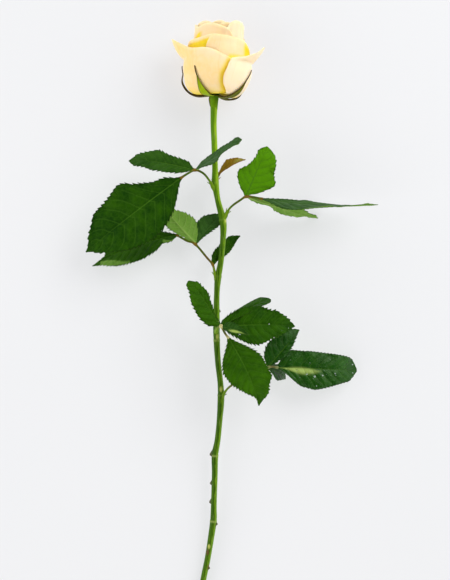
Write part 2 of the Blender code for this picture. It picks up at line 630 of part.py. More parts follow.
def stipule_shape(path, hand):
    """A narrow wing along the foot of a petiole, with a short free point."""
    length = sum(math.dist(a, b) for a, b in zip(path, path[1:]))
    grid = []
    for i in range(6):
        share = min((0.8 + STIPULE["length"] * i / 5) / length, 0.9)
        here, ahead = Vector(on_curve(path, share)), Vector(on_curve(path, share + 0.02))
        along = (ahead - here).normalized()
        side = along.cross(Vector((0.0, 0.0, 1.0)))
        if side.length < 0.5:
            side = along.cross(Vector((0.0, 1.0, 0.0)))
        side = side.normalized() * hand
        free = smooth((i - 3) / 2)
        wing = STIPULE["half"] * (0.7 + 0.3 * math.sin(math.pi * min(i / 3, 1.0)))
        inner = here + side * (STIPULE["free"] * free * 0.6)
        grid.append([inner, inner + side * (wing * (1 - 0.75 * free))])
    return sheet(grid, BLADE_THICKNESS, floor=0.0)


def make_leaf(name):
    leaf = LEAVES[name]
    steps = 7 if name == "young_leaf" else 15
    path = [on_curve(leaf["path"], i / steps) for i in range(steps + 1)]
    radii = [PETIOLE_RADIUS * (1.55 - 0.75 * smooth(4 * i / steps)) for i in range(steps + 1)]
    made = add_solid(name, tube(path, radii, 6))
    parts = [add_solid(f"{name}_{i}", leaflet_shape(x)) for i, x in enumerate(leaf["leaflets"])]
    parts += [add_solid(f"{name}_stipule_{h}", stipule_shape(leaf["path"], h)) for h in (-1, 1)]
    combine(made, parts, "UNION", "EXACT")
    clearance = add_solid(name + "_saddle", stem_tube(FIT_GAP))
    combine(made, [clearance], "DIFFERENCE", "EXACT")
    keep_outer_shell(made)
    finish(made, "young_leaf" if name == "young_leaf" else "leaf")
    return made


def main():
    for old in list(bpy.data.objects):
        bpy.data.objects.remove(old)
    make_stem()
    make_calyx()
    make_bloom()
    for name in LEAVES:
        make_leaf(name)


main()
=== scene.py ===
import math

import bpy
import numpy as np
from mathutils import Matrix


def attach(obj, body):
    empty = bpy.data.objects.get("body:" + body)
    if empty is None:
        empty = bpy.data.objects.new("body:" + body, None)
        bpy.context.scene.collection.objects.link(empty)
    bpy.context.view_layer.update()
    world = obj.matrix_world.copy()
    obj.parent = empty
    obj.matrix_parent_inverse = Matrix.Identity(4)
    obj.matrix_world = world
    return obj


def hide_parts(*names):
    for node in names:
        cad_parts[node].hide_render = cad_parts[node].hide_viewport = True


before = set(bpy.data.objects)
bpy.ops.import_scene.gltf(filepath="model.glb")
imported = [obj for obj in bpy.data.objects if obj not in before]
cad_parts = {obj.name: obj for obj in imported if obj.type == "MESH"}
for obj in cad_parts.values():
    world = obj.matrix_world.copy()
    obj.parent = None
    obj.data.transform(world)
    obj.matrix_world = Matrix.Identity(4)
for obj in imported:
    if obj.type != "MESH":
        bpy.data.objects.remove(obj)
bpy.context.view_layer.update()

mm = 0.001  # the tables below are in millimetres, every mesh is in metres

# Places shared by several pieces, the same as in the solid model.
rose = {
    "stemRadius": 1.95,
    "foot": np.array((-10.9, 153.7, 21.95)),  # where the petals meet
    "axis": np.array((0.04, 1.0, math.tan(math.radians(2.0)))),
}


def smooth(x):  # a soft step from 0 at 0 to 1 at 1
    x = np.clip(x, 0.0, 1.0)
    return x * x * (3 - 2 * x)


def unit(v):
    v = np.asarray(v, float)
    return v / np.maximum(np.linalg.norm(v, axis=-1, keepdims=True), 1e-12)


def roundTurn(sides):
    return 2 * math.pi * np.arange(sides) / sides


def lengthOf(path):
    return float(np.sum(np.linalg.norm(np.diff(np.array(path), axis=0), axis=1)))


def throughPoints(points, share):  # a smooth curve through the points, read at a share of its run
    points = np.asarray(points, float)
    spans = len(points) - 1
    place = np.clip(np.asarray(share, float), 0.0, 1.0) * spans
    i = np.minimum(place.astype(int), spans - 1)
    f = (place - i)[..., None]
    ends = np.vstack([2 * points[0] - points[1], points, 2 * points[-1] - points[-2]])
    p, a, b, n = ends[i], ends[i + 1], ends[i + 2], ends[i + 3]
    return 0.5 * (2 * a + (b - p) * f + (2 * p - 5 * a + 4 * b - n) * f**2 + (3 * a - p - 3 * b + n) * f**3)


# Points and faces of one piece are gathered in a pile, with values for the materials painted on the points.
def newPile():
    return {"points": [], "faces": [], "looks": [], "count": 0}


def addToPile(pile, points, looks, *faceSets):
    for faces in faceSets:
        pile["faces"] += (np.asarray(faces, int) + pile["count"]).tolist()
    points = np.asarray(points, float).reshape(-1, 3)
    spread = {}
    for name, value in looks.items():
        value = np.asarray(value, float).reshape(-1)
        spread[name] = np.resize(value, len(points)) if value.size == 1 else value
    pile["points"].append(points)
    pile["looks"].append(spread)
    pile["count"] += len(points)


def sheetFaces(rows, columns, start=0):
    place = np.arange(rows * columns).reshape(rows, columns) + start
    corners = (place[:-1, :-1], place[:-1, 1:], place[1:, 1:], place[1:, :-1])
    return np.stack(corners, axis=-1).reshape(-1, 4)


def addSheet(pile, grid, thickness, looks):  # a closed thin sheet that stays above the floor
    rows, columns = grid.shape[:2]
    normal = unit(np.cross(np.gradient(grid, axis=1), np.gradient(grid, axis=0)))
    thick = np.broadcast_to(np.asarray(thickness, float), (rows, columns))[..., None]
    upper, lower = grid + normal * thick / 2, grid - normal * thick / 2
    facesUp = normal[..., 2] > 0
    upper[..., 2] = np.maximum(upper[..., 2], np.where(facesUp, thick[..., 0], 0))
    lower[..., 2] = np.maximum(lower[..., 2], np.where(facesUp, 0, thick[..., 0]))
    over = sheetFaces(rows, columns)
    under = over[:, ::-1] + rows * columns
    place = np.arange(rows * columns).reshape(rows, columns)
    rim = np.concatenate([place[0, :], place[1:, -1], place[-1, -2::-1], place[-2:0:-1, 0]])
    ahead = np.roll(rim, -1)
    edge = np.stack([ahead, rim, rim + rows * columns, ahead + rows * columns], axis=-1)
    doubled = {k: np.tile(np.broadcast_to(v, (rows, columns)).reshape(-1), 2) for k, v in looks.items()}
    doubled["under"] = np.repeat((0.0, 1.0), rows * columns)
    addToPile(pile, np.concatenate([upper.reshape(-1, 3), lower.reshape(-1, 3)]), doubled, over, under, edge)


def addRings(pile, rings, ends, looks):  # a closed skin over rings of points, with one point at each end
    rings = np.asarray(rings, float)
    rows, sides = rings.shape[:2]
    place = np.arange(rows * sides).reshape(rows, sides)
    ahead = np.roll(place, -1, axis=1)
    walls = np.stack([place[:-1], place[1:], ahead[1:], ahead[:-1]], axis=-1).reshape(-1, 4)
    start, end = np.full(sides, rows * sides), np.full(sides, rows * sides + 1)
    fans = np.stack([np.stack([start, place[0], ahead[0]]), np.stack([end, ahead[-1], place[-1]])])
    fans = fans.transpose(0, 2, 1).reshape(-1, 3)
    spread = {}
    for name, value in looks.items():
        value = np.broadcast_to(value, rows)
        spread[name] = np.concatenate([np.repeat(value, sides), value[[0, -1]]])
    addToPile(pile, np.concatenate([rings.reshape(-1, 3), np.asarray(ends, float)]), spread, walls, fans)


def addTube(pile, path, radii, sides, looks):  # a closed tube along a path
    path = np.asarray(path, float)
    side, rings = np.array((1.0, 0.0, 0.0)), []
    turn = roundTurn(sides)
    for centre, ahead, radius in zip(path, unit(np.gradient(path, axis=0)), radii):
        side = unit(side - ahead * side.dot(ahead))
        up = np.cross(side, ahead)
        rings.append(centre + (np.outer(np.cos(turn), side) + np.outer(np.sin(turn), up)) * radius)
    addRings(pile, rings, path[[0, -1]], looks)


def putInScene(name, data):
    made = bpy.data.objects.new(name, data)
    bpy.context.scene.collection.objects.link(made)
    return made


def paintPoints(mesh, name, values, kind="FLOAT"):
    channel = "value" if kind == "FLOAT" else "vector"
    values = np.asarray(values, dtype=np.float32).reshape(-1)
    mesh.attributes.new(name, kind, "POINT").data.foreach_set(channel, values)


def pieceFrom(name, pile, material):
    mesh = bpy.data.meshes.new(name)
    points = np.concatenate(pile["points"]) * mm
    mesh.from_pydata(points.tolist(), [], pile["faces"])
    names = sorted({k for looks in pile["looks"] for k in looks})
    values = {}
    for look in names:
        parts = [looks.get(look, np.zeros(len(p))) for looks, p in zip(pile["looks"], pile["points"])]
        values[look] = np.concatenate(parts)
        paintPoints(mesh, look, values[look])
    if "across" in names and "along" in names:
        corners = np.empty(len(mesh.loops), dtype=np.int32)
        mesh.loops.foreach_get("vertex_index", corners)
        pair = np.stack([values[look][corners] for look in ("across", "along")], axis=-1)
        layer = mesh.uv_layers.new(name="surface")
        layer.data.foreach_set("uv", pair.astype(np.float32).reshape(-1))
    mesh.shade_smooth()
    mesh.materials.append(material)
    mesh.update()
    return putInScene(name, mesh)


# materials

def setSocket(socket, value):  # a link to another node, or a plain value
    if isinstance(value, bpy.types.NodeSocket):
        socket.id_data.links.new(value, socket)
    else:
        socket.default_value = value


def addNode(tree, kind, inputs=None, **settings):
    made = tree.nodes.new(kind)
    for key, value in settings.items():
        setattr(made, key, value)
    for key, value in (inputs or {}).items():
        setSocket(made.inputs[key], value)
    return made


# The helpers below find the node tree from the first value that comes from a node.
def calc(operation, *values):
    tree = next(value.id_data for value in values if isinstance(value, bpy.types.NodeSocket))
    return addNode(tree, "ShaderNodeMath", dict(enumerate(values)), operation=operation).outputs[0]


def plus(first, second):
    return calc("ADD", first, second)


def minus(first, second):
    return calc("SUBTRACT", first, second)


def times(first, second):
    return calc("MULTIPLY", first, second)


def larger(first, second):
    return calc("MAXIMUM", first, second)


def clipped(value):
    return calc("MINIMUM", larger(value, 0.0), 1.0)


def ramp(value, low, high, start=0.0, end=1.0):
    inputs = {"Value": value, "From Min": low, "From Max": high, "To Min": start, "To Max": end}
    made = addNode(value.id_data, "ShaderNodeMapRange", inputs, interpolation_type="SMOOTHSTEP")
    return made.outputs["Result"]


def blendColours(factor, first, second, how="MIX"):
    made = addNode(factor.id_data, "ShaderNodeMix", {"Factor": factor}, data_type="RGBA", blend_type=how)
    for socket, colour in ((made.inputs[6], first), (made.inputs[7], second)):
        setSocket(socket, colour if isinstance(colour, bpy.types.NodeSocket) else (*colour, 1.0))
    return made.outputs[2]


def splitPlace(tree, place):
    return addNode(tree, "ShaderNodeSeparateXYZ", {0: place}).outputs


def joinPlace(tree, x, y=0.0, z=0.0):
    return addNode(tree, "ShaderNodeCombineXYZ", {0: x, 1: y, 2: z}).outputs[0]


def noiseAt(tree, place, scale, detail, **more):
    inputs = {"Vector": place, "Scale": scale, "Detail": detail} | more
    return addNode(tree, "ShaderNodeTexNoise", inputs).outputs[0]


def cellsAt(tree, place, scale, **settings):
    return addNode(tree, "ShaderNodeTexVoronoi", {"Vector": place, "Scale": scale}, **settings).outputs


def painted(tree, name):
    return addNode(tree, "ShaderNodeAttribute", attribute_name=name, attribute_type="GEOMETRY").outputs["Fac"]


def newGroup(name, inputs, outputs):
    tree = bpy.data.node_groups.new(name, "ShaderNodeTree")
    tree.interface.new_socket(name="Vector", in_out="INPUT", socket_type="NodeSocketVector")
    for title, value in inputs.items():
        socket = tree.interface.new_socket(name=title, in_out="INPUT", socket_type="NodeSocketFloat")
        socket.default_value = value
    for title in outputs:
        tree.interface.new_socket(name=title, in_out="OUTPUT", socket_type="NodeSocketFloat")
    return tree, tree.nodes.new("NodeGroupInput").outputs, tree.nodes.new("NodeGroupOutput").inputs


def useGroup(tree, group, inputs):
    return addNode(tree, "ShaderNodeGroup", inputs, node_tree=group).outputs


# soft patches of lighter and darker tissue, 0 to 1
def makeMottle():
    tree, given, out = newGroup("mottle", {"Scale": 100.0, "Contrast": 1.0}, ["Patches"])
    broad = noiseAt(tree, given["Vector"], given["Scale"], 3.0, Roughness=0.55)
    fine = noiseAt(tree, given["Vector"], times(given["Scale"], 5.3), 2.0)
    both = plus(times(broad, 0.7), times(fine, 0.3))
    centred = calc("MULTIPLY_ADD", minus(both, 0.5), times(given["Contrast"], 2.4), 0.5)
    setSocket(out["Patches"], clipped(centred))
    return tree


# small round spots, sparse where Share is low
def makeSpeckle():
    tree, given, out = newGroup("speckle", {"Scale": 600.0, "Share": 0.3, "Size": 0.25}, ["Spots"])
    cells = cellsAt(tree, given["Vector"], given["Scale"])
    tone = addNode(tree, "ShaderNodeSeparateColor", {0: cells["Color"]}).outputs[0]
    chosen = calc("LESS_THAN", tone, given["Share"])
    spot = minus(1.0, ramp(cells["Distance"], 0.0, 1.0))
    near = minus(1.0, calc("MINIMUM", calc("DIVIDE", cells["Distance"], given["Size"]), 1.0))
    setSocket(out["Spots"], times(chosen, times(near, spot)))
    return tree


# midrib, side veins and the fine net between them
def makeVeins():
    inputs = {"Rib Distance": 0.0, "Side Vein": 0.0, "Along": 0.0, "Edge": 0.0, "Spacing": 7.0,
              "Net Scale": 520.0}
    tree, given, out = newGroup("leafVeins", inputs, ["Rib", "Side", "Net", "Puff", "Height"])
    ribHalf = calc("MULTIPLY_ADD", given["Along"], -0.42, 0.62)  # the midrib thins towards the tip
    rib = minus(1.0, ramp(calc("DIVIDE", given["Rib Distance"], ribHalf), 0.45, 1.15))
    wobble = noiseAt(tree, given["Vector"], 190.0, 1.0)
    line = plus(given["Side Vein"], times(minus(wobble, 0.5), 0.16))
    off = calc("ABSOLUTE", minus(calc("FRACT", plus(line, 0.5)), 0.5))
    off = times(off, given["Spacing"])  # millimetres from the nearest side vein
    fade = minus(1.0, ramp(given["Edge"], 0.72, 0.97))
    side = times(minus(1.0, ramp(off, 0.12, 0.5)), fade)
    puff = times(ramp(off, 0.3, 2.6), ramp(given["Rib Distance"], 0.4, 2.5))  # swollen between the veins
    cells = cellsAt(tree, given["Vector"], given["Net Scale"], feature="DISTANCE_TO_EDGE")
    wide = cellsAt(tree, given["Vector"], times(given["Net Scale"], 0.42), feature="DISTANCE_TO_EDGE")
    net = times(minus(1.0, ramp(cells["Distance"], 0.02, 0.16)), 0.55)
    net = larger(net, minus(1.0, ramp(wide["Distance"], 0.01, 0.07)))
    height = larger(larger(rib, side), times(net, 0.45))
    for title, value in (("Rib", rib), ("Side", side), ("Net", net), ("Puff", puff), ("Height", height)):
        setSocket(out[title], value)
    return tree


mottle, speckle, leafVeins = makeMottle(), makeSpeckle(), makeVeins()


def patchesAt(tree, place, scale, contrast=1.0):
    return useGroup(tree, mottle, {"Vector": place, "Scale": scale, "Contrast": contrast})["Patches"]


def spotsAt(tree, place, scale, share, size):
    return useGroup(tree, speckle, {"Vector": place, "Scale": scale, "Share": share, "Size": size})["Spots"]


def newMaterial(name, **sockets):
    material = bpy.data.materials.new(name)
    material.use_nodes = True
    tree = material.node_tree
    shader = tree.nodes["Principled BSDF"]
    for title, value in sockets.items():
        shader.inputs[title].default_value = value
    place = tree.nodes.new("ShaderNodeTexCoord").outputs["Object"]
    return material, tree, shader, place


def addBump(tree, shader, height, distance, strength=1.0):
    inputs = {"Height": height, "Distance": distance * mm, "Strength": strength}
    setSocket(shader.inputs["Normal"], addNode(tree, "ShaderNodeBump", inputs).outputs[0])


petalLook = {
    "pale": (0.955, 0.755, 0.53), "blush": (0.97, 0.64, 0.25), "gold": (0.95, 0.68, 0.010),
    "warm": (1.0, 0.70, 0.008), "inside": (0.96, 0.70, 0.045), "rim": (0.98, 0.88, 0.52),
    "vein": (0.92, 0.66, 0.28),
}


def makePetalMaterial():
    sockets = {"Subsurface Weight": 0.3, "Subsurface Scale": 0.0008, "Subsurface Radius": (1.0, 0.75, 0.35),
               "Specular IOR Level": 0.2}
    material, tree, shader, place = newMaterial("petalSkin", **sockets)
    along, across, under = painted(tree, "along"), painted(tree, "across"), painted(tree, "under")
    patches = patchesAt(tree, place, 70.0)
    blush = times(painted(tree, "blush"), ramp(patches, 0.1, 0.9, 0.6, 1.0))
    outside = blendColours(blush, petalLook["pale"], petalLook["blush"])
    # gold is the petal's own yellow base, deepened as painted warm shade in folds and in gaps between petals
    outside = blendColours(times(painted(tree, "gold"), 0.975), outside, petalLook["gold"])
    # painted warm shade where the right-hand petal laps over the others
    outside = blendColours(times(painted(tree, "warm"), 0.85), outside, petalLook["warm"])
    inside = blendColours(ramp(along, 0.62, 1.0, 0.0, 0.85), petalLook["inside"], petalLook["pale"])
    both = blendColours(under, outside, inside)
    rimmed = blendColours(ramp(along, 0.93, 1.0, 0.0, 0.35), both, petalLook["rim"])
    # fine veins fan out from the claw, other ones on each petal
    fan = joinPlace(tree, times(across, 46.0), times(along, 1.6), times(painted(tree, "depth"), 31.0))
    streaks = noiseAt(tree, fan, 1.0, 3.0, Distortion=0.3)
    veined = blendColours(ramp(streaks, 0.52, 0.75, 0.0, 0.16), rimmed, petalLook["vein"], "MULTIPLY")
    dots = spotsAt(tree, place, 420.0, 0.12, 0.35)
    setSocket(shader.inputs["Base Color"], blendColours(times(dots, 0.12), veined, petalLook["gold"]))
    setSocket(shader.inputs["Roughness"], ramp(patches, 0.0, 1.0, 0.5, 0.68))
    addBump(tree, shader, plus(streaks, times(patches, 0.35)), 0.12, 0.5)
    return material


leafLook = {
    "top": (0.005, 0.034, 0.0008), "topLight": (0.074, 0.228, 0.002), "topVein": (0.055, 0.150, 0.010),
    "below": (0.15, 0.29, 0.045), "belowVein": (0.24, 0.37, 0.08), "margin": (0.014, 0.040, 0.003),
    "streak": (0.30, 0.40, 0.09), "sheenGrey": (0.060, 0.115, 0.055), "knot": (0.17, 0.10, 0.015),
    "stalk": (0.060, 0.110, 0.008), "stalkRed": (0.115, 0.075, 0.018), "stalkFoot": (0.15, 0.27, 0.012),
    "relief": 0.8, "shine": 0.04, "gloss": 0.48,
}
wetLook = leafLook | {
    "top": (0.002, 0.026, 0.001), "topLight": (0.022, 0.140, 0.002), "knot": (0.20, 0.22, 0.08),
    "relief": 0.35, "shine": 0.25, "gloss": 0.18,
}
frontLook = leafLook | {"knot": (0.52, 0.48, 0.22), "gloss": 0.42}
youngLook = leafLook | {
    "top": (0.20, 0.105, 0.006), "topLight": (0.26, 0.17, 0.012), "topVein": (0.32, 0.20, 0.03),
    "below": (0.26, 0.17, 0.03), "belowVein": (0.40, 0.22, 0.08), "margin": (0.25, 0.06, 0.015),
    "streak": (0.30, 0.26, 0.05), "gloss": 0.40,
}


def makeLeafMaterial(name, look):
    sockets = {"Specular IOR Level": look["shine"], "Specular Tint": (0.7, 1.0, 0.55, 1.0)}
    material, tree, shader, place = newMaterial(name, **sockets)
    under, edge, along = painted(tree, "under"), painted(tree, "edge"), painted(tree, "along")
    veins = useGroup(tree, leafVeins, {
        "Vector": place, "Rib Distance": painted(tree, "ribDistance"), "Side Vein": painted(tree, "sideVein"),
        "Along": along, "Edge": edge, "Spacing": 5.0, "Net Scale": 520.0})
    patches = patchesAt(tree, place, 90.0)
    light = plus(painted(tree, "tint"), times(minus(patchesAt(tree, place, 34.0), 0.45), 0.27))
    light = plus(light, times(minus(patches, 0.45), 0.19))
    # painted shade: darker where the blade sinks at the rib and side veins, lighter where it swells between
    # them
    light = plus(light, times(minus(veins["Puff"], 0.5), 0.05))
    top = blendColours(clipped(light), look["top"], look["topLight"])
    top = blendColours(times(veins["Net"], 0.14), top, look["topVein"])
    top = blendColours(times(veins["Side"], 0.24), top, look["topVein"])
    top = blendColours(times(veins["Rib"], ramp(along, 0.35, 0.9, 0.6, 0.2)), top, look["topVein"])
    # painted sheen: a grey haze laid over the top side of some leaflets
    haze = times(painted(tree, "haze"), ramp(patches, 0.2, 0.8, 0.3, 0.8))
    top = blendColours(haze, top, look["sheenGrey"])
    below = blendColours(times(veins["Net"], 0.25), look["below"], look["belowVein"])
    below = blendColours(larger(times(veins["Side"], 0.6), veins["Rib"]), below, look["belowVein"])
    below = blendColours(ramp(patches, 0.2, 0.9, 0.0, 0.3), below, look["topLight"])
    both = blendColours(larger(under, times(painted(tree, "pale"), 0.8)), top, below)
    both = blendColours(painted(tree, "streak"), both, look["streak"])
    both = blendColours(ramp(edge, 0.93, 1.0, 0.0, 0.65), both, look["margin"])
    stalk = blendColours(ramp(patchesAt(tree, place, 60.0, 1.4), 0.25, 0.8), look["stalk"], look["stalkRed"])
    stalk = blendColours(ramp(along, 0.16, 0.46, 0.9, 0.0), stalk, look["stalkFoot"])  # green at its foot
    stalk = blendColours(painted(tree, "knot"), stalk, look["knot"])
    setSocket(shader.inputs["Base Color"], blendColours(painted(tree, "stalk"), both, stalk))
    rough = blendColours(under, (look["gloss"],) * 3, (0.62,) * 3)
    setSocket(shader.inputs["Roughness"], blendColours(times(patches, 0.35), rough, (0.6,) * 3))
    sunk = times(veins["Height"], calc("MULTIPLY_ADD", under, 2.0, -1.0))  # sunk on top, raised below
    grain = spotsAt(tree, place, 2400.0, 0.9, 0.6)
    swell = times(plus(veins["Puff"], patches), calc("MULTIPLY_ADD", under, -1.0, 1.0))
    relief = plus(plus(sunk, times(grain, 0.12)), times(swell, look["relief"]))
    addBump(tree, shader, relief, 0.3, 0.8)
    return material


stemLook = {
    "low": ((0.014, 0.060, 0.0004), (0.056, 0.135, 0.001)),
    "high": ((0.055, 0.165, 0.001), (0.125, 0.265, 0.002)),
    "litFlankLow": (0.135, 0.260, 0.010), "litFlankHigh": (0.29, 0.47, 0.010), "streak": (0.20, 0.33, 0.01),
    "pore": (0.30, 0.36, 0.12), "ring": (0.34, 0.42, 0.10), "scar": (0.11, 0.060, 0.018),
    "bud": (0.50, 0.52, 0.12),
}


def makeStemMaterial():
    sockets = {"Specular IOR Level": 0.14, "Specular Tint": (0.85, 1.0, 0.6, 1.0)}
    material, tree, shader, place = newMaterial("stemSkin", **sockets)
    drawn = addNode(tree, "ShaderNodeMapping", {"Vector": place, "Scale": (1.0, 0.09, 1.0)}).outputs[0]
    streaks = noiseAt(tree, drawn, 1500.0, 2.0)  # drawn out along the stem
    patches = patchesAt(tree, drawn, 260.0, 1.3)
    height = ramp(splitPlace(tree, place)[1], 0.05, 0.12)
    low, high = blendColours(patches, *stemLook["low"]), blendColours(patches, *stemLook["high"])
    body = blendColours(height, low, high)
    pale = blendColours(height, stemLook["litFlankLow"], stemLook["litFlankHigh"])
    sunny = ramp(plus(painted(tree, "side"), times(minus(streaks, 0.5), 1.4)), 0.0, 0.65, 0.0, 0.9)
    body = blendColours(sunny, body, pale)  # painted light: the right flank, towards the key light, is paler all the way up
    body = blendColours(ramp(streaks, 0.5, 0.75, 0.0, 0.25), body, stemLook["streak"])
    pores = spotsAt(tree, drawn, 900.0, 0.16, 0.4)
    body = blendColours(times(pores, 0.5), body, stemLook["pore"])
    body = blendColours(times(painted(tree, "ring"), 0.75), body, stemLook["ring"])
    body = blendColours(painted(tree, "scar"), body, stemLook["scar"])
    body = blendColours(times(painted(tree, "bud"), 0.8), body, stemLook["bud"])
    setSocket(shader.inputs["Base Color"], body)
    setSocket(shader.inputs["Roughness"], ramp(patches, 0.0, 1.0, 0.34, 0.5))
    addBump(tree, shader, minus(streaks, pores), 0.18, 0.55)
    return material


pithLook = {
    "pith": (0.62, 0.66, 0.40), "wood": (0.42, 0.52, 0.20), "bark": (0.07, 0.16, 0.01),
    "ray": (0.34, 0.30, 0.14),
}


def makePithMaterial():
    material, tree, shader, place = newMaterial("stemPith", Roughness=0.75)
    radius = painted(tree, "radial")
    rays = noiseAt(tree, place, 2600.0, 3.0)
    wood = blendColours(ramp(radius, 0.35, 0.55), pithLook["pith"], pithLook["wood"])
    wood = blendColours(ramp(radius, 0.78, 0.92), wood, pithLook["bark"])
    wood = blendColours(ramp(rays, 0.4, 0.7, 0.0, 0.4), wood, pithLook["ray"])
    setSocket(shader.inputs["Base Color"], wood)
    addBump(tree, shader, rays, 0.15, 0.6)
    return material


calyxLook = {
    "green": ((0.25, 0.36, 0.002), (0.37, 0.47, 0.003)), "below": (0.30, 0.38, 0.16),
    "brown": ((0.032, 0.019, 0.003), (0.075, 0.045, 0.008)),
    "hip": ((0.085, 0.215, 0.001), (0.155, 0.300, 0.002)), "hipTopShade": (0.045, 0.12, 0.002),
}


def makeCalyxMaterial():
    material, tree, shader, place = newMaterial("sepalSkin", **{"Specular IOR Level": 0.06})
    along, edge, under, hip = (painted(tree, k) for k in ("along", "edge", "under", "hip"))
    patches = patchesAt(tree, place, 210.0, 1.2)
    green, brown = blendColours(patches, *calyxLook["green"]), blendColours(patches, *calyxLook["brown"])
    dry = larger(ramp(edge, 0.72, 1.0), larger(ramp(along, 0.5, 0.85), painted(tree, "dry")))
    blade = blendColours(dry, green, brown)
    blade = blendColours(times(under, calc("MULTIPLY_ADD", dry, -0.5, 0.5)), blade, calyxLook["below"])
    base = blendColours(patches, *calyxLook["hip"])
    # painted shade under the petals: the hip darkens towards its top
    base = blendColours(ramp(along, 0.35, 1.0, 0.0, 0.8), base, calyxLook["hipTopShade"])
    setSocket(shader.inputs["Base Color"], blendColours(hip, blade, base))
    setSocket(shader.inputs["Roughness"], ramp(patches, 0.0, 1.0, 0.42, 0.6))
    addBump(tree, shader, plus(spotsAt(tree, place, 2200.0, 0.8, 0.6), patches), 0.15, 0.5)
    return material


spurLook = {"foot": (0.045, 0.095, 0.006), "tip": (0.09, 0.065, 0.018), "fleck": (0.05, 0.045, 0.015)}


def makeSpurMaterial():
    material, tree, shader, place = newMaterial("spurBark")
    patches = patchesAt(tree, place, 500.0, 1.2)
    colour = blendColours(ramp(painted(tree, "tip"), 0.3, 0.9), spurLook["foot"], spurLook["tip"])
    setSocket(shader.inputs["Base Color"], blendColours(times(patches, 0.4), colour, spurLook["fleck"]))
    setSocket(shader.inputs["Roughness"], ramp(patches, 0.0, 1.0, 0.45, 0.7))
    addBump(tree, shader, patches, 0.1, 0.5)
    return material


def makeWaterMaterial():
    # clear water shows only small glints; the milky white base colour is a painted glint, so the beads read
    # as white specks
    sockets = {"Base Color": (0.85, 0.95, 0.92, 1.0), "IOR": 1.33, "Transmission Weight": 0.62}
    material, tree, shader, place = newMaterial("waterBead", **sockets)
    setSocket(shader.inputs["Roughness"], ramp(noiseAt(tree, place, 900.0, 1.0), 0.3, 0.7, 0.0, 0.05))
    return material


petalSkin, stemSkin, stemPith = makePetalMaterial(), makeStemMaterial(), makePithMaterial()
sepalSkin, spurBark, waterBead = makeCalyxMaterial(), makeSpurMaterial(), makeWaterMaterial()
leafSkin = makeLeafMaterial("leafSkin", leafLook)
leafSkins = {
    "leaf_lower_right": makeLeafMaterial("wetLeafSkin", wetLook),
    "leaf_front": makeLeafMaterial("frontLeafSkin", frontLook),
    "young_leaf": makeLeafMaterial("youngLeafSkin", youngLook),
}
print("materials ready")


# stem: a skin that follows one path, swollen and ringed where leaves stood

stemPlan = {
    # x, y and z of the path, and the girth there as a share of the stem's radius
    "path": ((-24.1, -197.8, 2.05, 1.08), (-21.3, -184.0, 2.8, 1.0), (-18.6, -166.3, 3.7, 1.0),
             (-15.9, -153.0, 4.5, 1.0), (-13.7, -139.6, 5.3, 1.05), (-11.9, -126.9, 6.1, 1.14),
             (-11.6, -116.3, 6.7, 1.0), (-11.0, -96.3, 7.9, 1.0), (-10.8, -83.0, 8.9, 1.14),
             (-9.1, -73.1, 9.5, 1.0), (-7.8, -59.9, 10.2, 0.98), (-6.9, -46.5, 11.0, 1.16),
             (-7.2, -36.0, 11.5, 0.98), (-8.8, -22.0, 12.3, 0.98), (-9.7, -6.5, 13.1, 1.1),
             (-9.8, 4.0, 13.7, 1.12), (-9.6, 22.3, 14.7, 0.96), (-8.7, 33.8, 15.2, 1.1),
             (-6.8, 45.1, 15.9, 0.95), (-5.5, 59.5, 16.8, 0.97), (-5.6, 70.5, 17.4, 1.18),
             (-8.9, 84.1, 18.7, 0.95), (-10.5, 95.0, 19.8, 1.18), (-10.7, 104.8, 20.6, 0.97),
             (-11.1, 119.6, 21.2, 1.0), (-11.6, 133.0, 21.5, 1.03), (-11.4, 143.9, 21.6, 1.18)),
    "steps": 520, "sides": 32, "cutSlant": 1.3, "lumps": 0.09, "ridge": 0.16, "groove": 0.10,
    # leaf scars that ring the stem, by their place along Y and how pale they are
    "rings": ((95.5, 0.2), (71.5, 0.2), (34.5, 0.15), (-7.4, 0.8), (-43.5, 0.25), (-83.4, 0.75),
              (-127.0, 0.85)),
    # place along Y, the side it is on as x and z, and its size in millimetres
    "scars": ((-147.6, (-0.5, 1.0), 1.2), (-157.5, (1.0, 0.4), 1.5), (-129.5, (1.0, 0.3), 0.9),
              (-66.0, (-0.8, -0.8), 1.0)),
    "buds": ((-39.5, (0.1, 1.0), 1.1), (-143.6, (-0.25, 1.0), 1.0), (-5.0, (0.3, 1.0), 1.2),
             (71.0, (0.9, 0.6), 1.2)),
    "stubs": ((-82.0, (-1.0, 0.2), 1.5), (-101.5, (-1.0, 0.1), 1.2), (-113.8, (-1.0, 0.1), 1.3),
              (-128.5, (1.0, 0.2), 0.9), (-158.0, (1.0, 0.2), 0.9), (-62.0, (0.4, -1.0), 1.4),
              (12.0, (0.8, -0.6), 1.2), (52.0, (-0.5, -0.9), 1.2)),
    "cutFace": {"rings": 8, "sides": 32, "reach": 0.97, "front": -0.05, "back": 0.35, "dish": 0.12},
    "stubFoot": 0.35,
}


def stemAt(y):
    rows = throughPoints(stemPlan["path"], np.linspace(0, 1, 2001))
    row = rows[np.argmin(np.abs(rows[:, 1] - y))]
    return row[:3], row[3] * rose["stemRadius"]


def meshFromNodes(base, name, material):
    # the evaluated result becomes a plain mesh, and the modifier goes with its object
    graph = bpy.context.evaluated_depsgraph_get()
    whole = base.evaluated_get(graph)
    mesh = bpy.data.meshes.new_from_object(whole, preserve_all_data_layers=True, depsgraph=graph)
    bpy.data.objects.remove(base)
    mesh.name = name
    mesh.materials.clear()
    mesh.materials.append(material)
    return putInScene(name, mesh)


def addModifier(target, tree, values):
    made = target.modifiers.new(tree.name, "NODES")
    made.node_group = tree
    for item in tree.interface.items_tree:
        if item.in_out == "INPUT" and item.name in values:
            made[item.identifier] = values[item.name]


